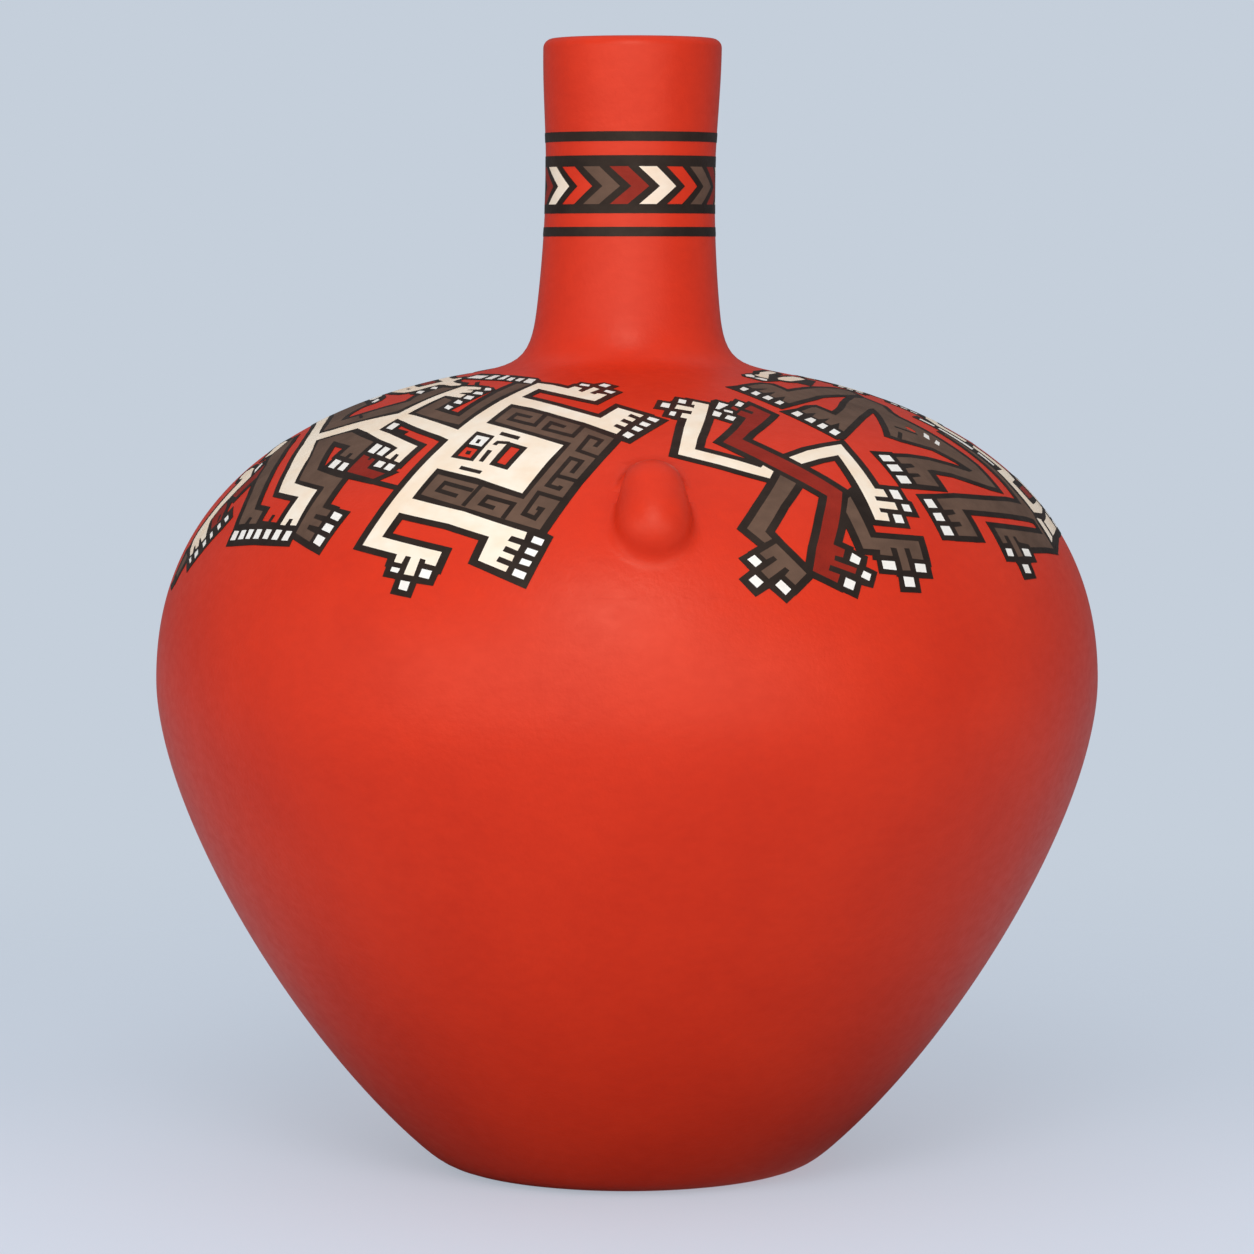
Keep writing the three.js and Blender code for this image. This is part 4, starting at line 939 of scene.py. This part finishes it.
def slip(name, colour, deeper, roughness, cloud, mottle, streak, relief=0.02, gloss=0.24):
    """Slip brushed on and burnished with a pebble.

    It is never one even tone: where the coat is thick the colour is deeper, and the pebble
    leaves short polished tracks round the pot.
    """
    material, tree = new_material(name)
    where = add(tree, "TexCoord").outputs["Object"]
    flat_wise = add(tree, "Mapping", {"Scale": TRACK_STRETCH}, {"Vector": where})

    def noise(size, detail, uneven, on):
        settings = {"Scale": per_metre(size), "Detail": detail, "Roughness": uneven}
        return add(tree, "TexNoise", settings, {"Vector": on})

    clouds = noise(cloud, 3.0, 0.55, where)
    tracks = noise(TRACK_SPACING, 2.0, 0.5, flat_wise)
    grain = noise(GRAIN, 3.0, 0.65, where)
    cloud_share = ramp(tree, clouds, 0.3, 0.7, 0.0, mottle)
    track_share = ramp(tree, tracks, 0.3, 0.75, 0.0, streak)
    polish = ramp(tree, tracks, 0.3, 0.7, roughness - 0.03, roughness + 0.04)
    shares = add(tree, "Math", {"operation": "ADD", "use_clamp": True}, {0: cloud_share, 1: track_share})
    tone = tone_between(tree, shares, colour, deeper)
    grooves = add(tree, "Bump", {"Distance": relief * MM}, {"Height": tracks})
    pits = add(tree, "Bump", {"Distance": relief * GRAIN_RELIEF * MM}, {"Height": grain, "Normal": grooves})
    body = add(
        tree,
        "BsdfPrincipled",
        {"IOR": 1.5, "Specular IOR Level": gloss, "Specular Tint": linear("#FFEBD3")},
        {"Base Color": tone, "Roughness": polish, "Normal": pits},
    )
    add(tree, "OutputMaterial", None, {"Surface": body})
    return material


# Ochre-red slip, burnished: a warm satin with one soft highlight and a faint grain
red_slip = slip("burnished_red_slip", "#DF3417", "#CF2B12", 0.41, 26, mottle=0.6, streak=0.3, gloss=0.35)
# Manganese slip: a matt brownish black, paler where the brush ran dry
black_slip = slip("manganese_black_slip", "#332823", "#241B18", 0.5, 9, mottle=0.8, streak=0.4)
# Kaolin slip: warm ivory, in clouds where it was laid on thinly
cream_slip = slip("kaolin_cream_slip", "#FDF1DF", "#F6DEC2", 0.55, 8, mottle=0.75, streak=0.35)
# Manganese mixed with clay: an uneven grey-brown
brown_slip = slip("grey_brown_slip", "#6F5546", "#5C463A", 0.52, 8, mottle=0.75, streak=0.4)
# Haematite slip: a deep, dull red
maroon_slip = slip("dark_red_slip", "#9C2618", "#861D12", 0.5, 8, mottle=0.75, streak=0.4)
# The cleanest kaolin: nearly white
white_slip = slip("white_slip", "#FBF8F2", "#F0E8DC", 0.55, 6, mottle=0.6, streak=0.3)
# Earthenware without slip: orange-brown, dull and gritty
bare_clay = slip("bare_fired_clay", "#B0623F", "#985033", 0.85, 12, mottle=0.8, streak=0.3, relief=0.06)


def give(piece, material):
    piece.data.materials.clear()
    piece.data.materials.append(material)
    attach(piece, "root")


# The clay, piece by piece

walls = {"base_slab": base_slab()}
for family, low, high, count in (
    ("lower_wall", AT_HEEL, AT_BELLY, LOWER_COURSES),
    ("shoulder_wall", AT_BELLY, AT_SHOULDER, SHOULDER_COURSES),
    ("neck_ring", AT_ROOT, AT_NECK_TOP, NECK_RINGS),
):
    joints = np.linspace(low, high, count + 1)
    for i in range(count):
        node = f"{family}_{i + 1}"
        walls[node] = course(node + "_clay", joints[i], joints[i + 1])
walls["neck_collar"] = course("neck_collar_clay", AT_SHOULDER, AT_ROOT)
walls["rim_lip"] = rim_lip()
walls["shoulder_lug"] = shoulder_lug()

for node, piece in walls.items():
    give(piece, red_slip)
    piece.data.materials.append(bare_clay)
    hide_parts(node)

# The inside was never slipped, apart from what ran over the lip
SLIP_INSIDE, INSIDE_FROM = 4, 1.5  # mm down from the lip, and mm in from the outer face
for node, piece in walls.items():
    if node == "shoulder_lug":
        continue
    for side in piece.data.polygons:
        middle = np.array(side.center)[None] / MM
        deep = off_wall(middle)[0]
        if deep < -INSIDE_FROM and middle[0, 2] < LIP_FOOT - SLIP_INSIDE:
            side.material_index = 1

# The paint

frieze = painted_fields(frieze_layers(), FRIEZE_START, FRIEZE_END, FRIEZE_HEIGHTS, FRIEZE_MM)
neck = painted_fields(neck_layers(), -180, 180, NECK_HEIGHTS, NECK_MM)
for colour, finish, slot_name in (
    (BLACK, black_slip, "black_slip"),
    (CREAM, cream_slip, "cream_slip"),
    (BROWN, brown_slip, "brown_slip"),
    (MAROON, maroon_slip, "maroon_slip"),
    (WHITE, white_slip, "white_slip"),
):
    give(painted_piece(f"frieze_{colour}", colour, frieze, (0.0, 180.0)), finish)
    if colour != WHITE:
        give(painted_piece(f"neck_band_{colour}", colour, neck), finish)

# Stage, lamps and camera

FOOT_CENTRE = (0.01, 0.0016, 0.0)
OPEN_DOME, GLOSS_DOME = 0.52, 0.2  # the room that the pot is lit by, and the one that it reflects

deselect_all()
bpy.ops.mesh.primitive_circle_add(vertices=96, radius=6, fill_type="NGON")
floor = bpy.context.object
floor.name = floor.data.name = "floor"
paper, tree = new_material("pale_studio_floor")
where = add(tree, "TexCoord").outputs["Object"]
to_camera = add(tree, "LightPath").outputs["Is Camera Ray"]
depth = add(tree, "SeparateXYZ", None, {"Vector": where}).outputs["Y"]
distance, off_foot = (
    add(tree, "VectorMath", {"operation": "DISTANCE", 1: centre}, {0: where}).outputs["Value"]
    for centre in ((0, 0, 0), FOOT_CENTRE)
)
# The paper runs out into the backdrop, and its tone is painted paler in front, a painted falloff of light.
# Near the pot its bounce colour is darker, painted shade round the foot; it lets a little through under the
# foot, which would be black from below.
# painted light: the paper seen by the camera is paler towards the front
far = ramp(tree, depth, -0.06, 0.12, 0.0, 1.0, "SMOOTHSTEP")
# painted shade: the colour the paper throws back is darker close to the pot
clear_of_pot = ramp(tree, distance, 0.03, 0.15, 0.0, 1.0, "SMOOTHSTEP")
fade = ramp(tree, distance, 0.14, 0.55, 0.0, 1.0, "SMOOTHSTEP")
under_foot = ramp(tree, off_foot, 0.022, 0.044, 1.0, 0.0, "SMOOTHSTEP")
seen_tone_with_painted_falloff = tone_between(tree, far, "#DDE6F3", "#D2DCE9")
bounce_tone_with_painted_shade = tone_between(tree, clear_of_pot, "#787B80", "#BABFC7")
tone = add(tree, "Mix", {"data_type": "RGBA"}, {0: to_camera, 6: bounce_tone_with_painted_shade, 7: seen_tone_with_painted_falloff}).outputs[2]
matt = add(tree, "BsdfPrincipled", {"Roughness": 0.9, "Specular IOR Level": 0.1}, {"Base Color": tone})
pale = add(tree, "Emission", {"Strength": 1.0}, {"Color": tone})
half = add(tree, "Math", {"operation": "MULTIPLY", 1: 0.5}, {0: to_camera})
lit = add(tree, "MixShader", None, {0: half, 1: matt, 2: pale})
from_below = add(tree, "NewGeometry").outputs["Backfacing"]
gone = add(tree, "Math", {"operation": "MAXIMUM"}, {0: fade, 1: from_below})
opening = add(tree, "Mix", None, {0: to_camera, 2: under_foot, 3: gone})
laid = add(tree, "MixShader", None, {0: opening, 1: lit, 2: add(tree, "BsdfTransparent")})
add(tree, "OutputMaterial", None, {"Surface": laid})
floor.data.materials.append(paper)

world = bpy.data.worlds.new("pale_studio")
bpy.context.scene.world = world
world.use_nodes = True
tree = world.node_tree
tree.nodes.clear()
rays = add(tree, "LightPath").outputs
seen = add(tree, "Math", {"operation": "MAXIMUM"}, {0: rays["Is Camera Ray"], 1: rays["Is Transmission Ray"]})
dome = ramp(tree, rays["Is Glossy Ray"], 0.0, 1.0, OPEN_DOME, GLOSS_DOME)
studio = add(tree, "Background", {"Color": linear("#E9EDF4")}, {"Strength": dome})
backdrop = add(tree, "Background", {"Color": linear("#C5CFDB"), "Strength": 1.0})
mixed = add(tree, "MixShader", None, {0: seen, 1: studio, 2: backdrop})
add(tree, "OutputWorld", None, {"Surface": mixed})


def put_in(name, data, place, aim):
    """A lamp or camera, turned to what it aims at."""
    holder = bpy.data.objects.new(name, data)
    bpy.context.scene.collection.objects.link(holder)
    holder.location = place
    holder.rotation_euler = (Vector(aim) - Vector(place)).to_track_quat("-Z", "Y").to_euler()
    return holder


def softbox(name, place, aim, size, watts):
    lamp = bpy.data.lights.new(name, "AREA")
    lamp.shape = "RECTANGLE"
    lamp.size, lamp.size_y = size
    lamp.energy = watts
    put_in(name, lamp, place, aim)


softbox("key_softbox", (-0.04, -1.05, 0.86), (0, 0, 0.13), (0.5, 0.5), 4.8)
softbox("front_softbox", (-0.1, -1.45, 0.30), (0, 0, 0.10), (3.4, 0.8), 15.0)
softbox("left_softbox", (-1.45, -0.7, 0.45), (0, 0, 0.10), (1.2, 0.8), 1.2)
softbox("overhead_softbox", (0, 0.1, 1.5), (0, 0, 0.1), (2.2, 2.2), 3.5)

camera = bpy.data.cameras.new("camera")
camera.lens = 138.22
camera.sensor_width = 36
camera.clip_start = 0.01
bpy.context.scene.camera = put_in("camera", camera, (0, -0.960, 0.1832), (0, 0, 0.1078))

bpy.context.scene.view_settings.view_transform = "Standard"
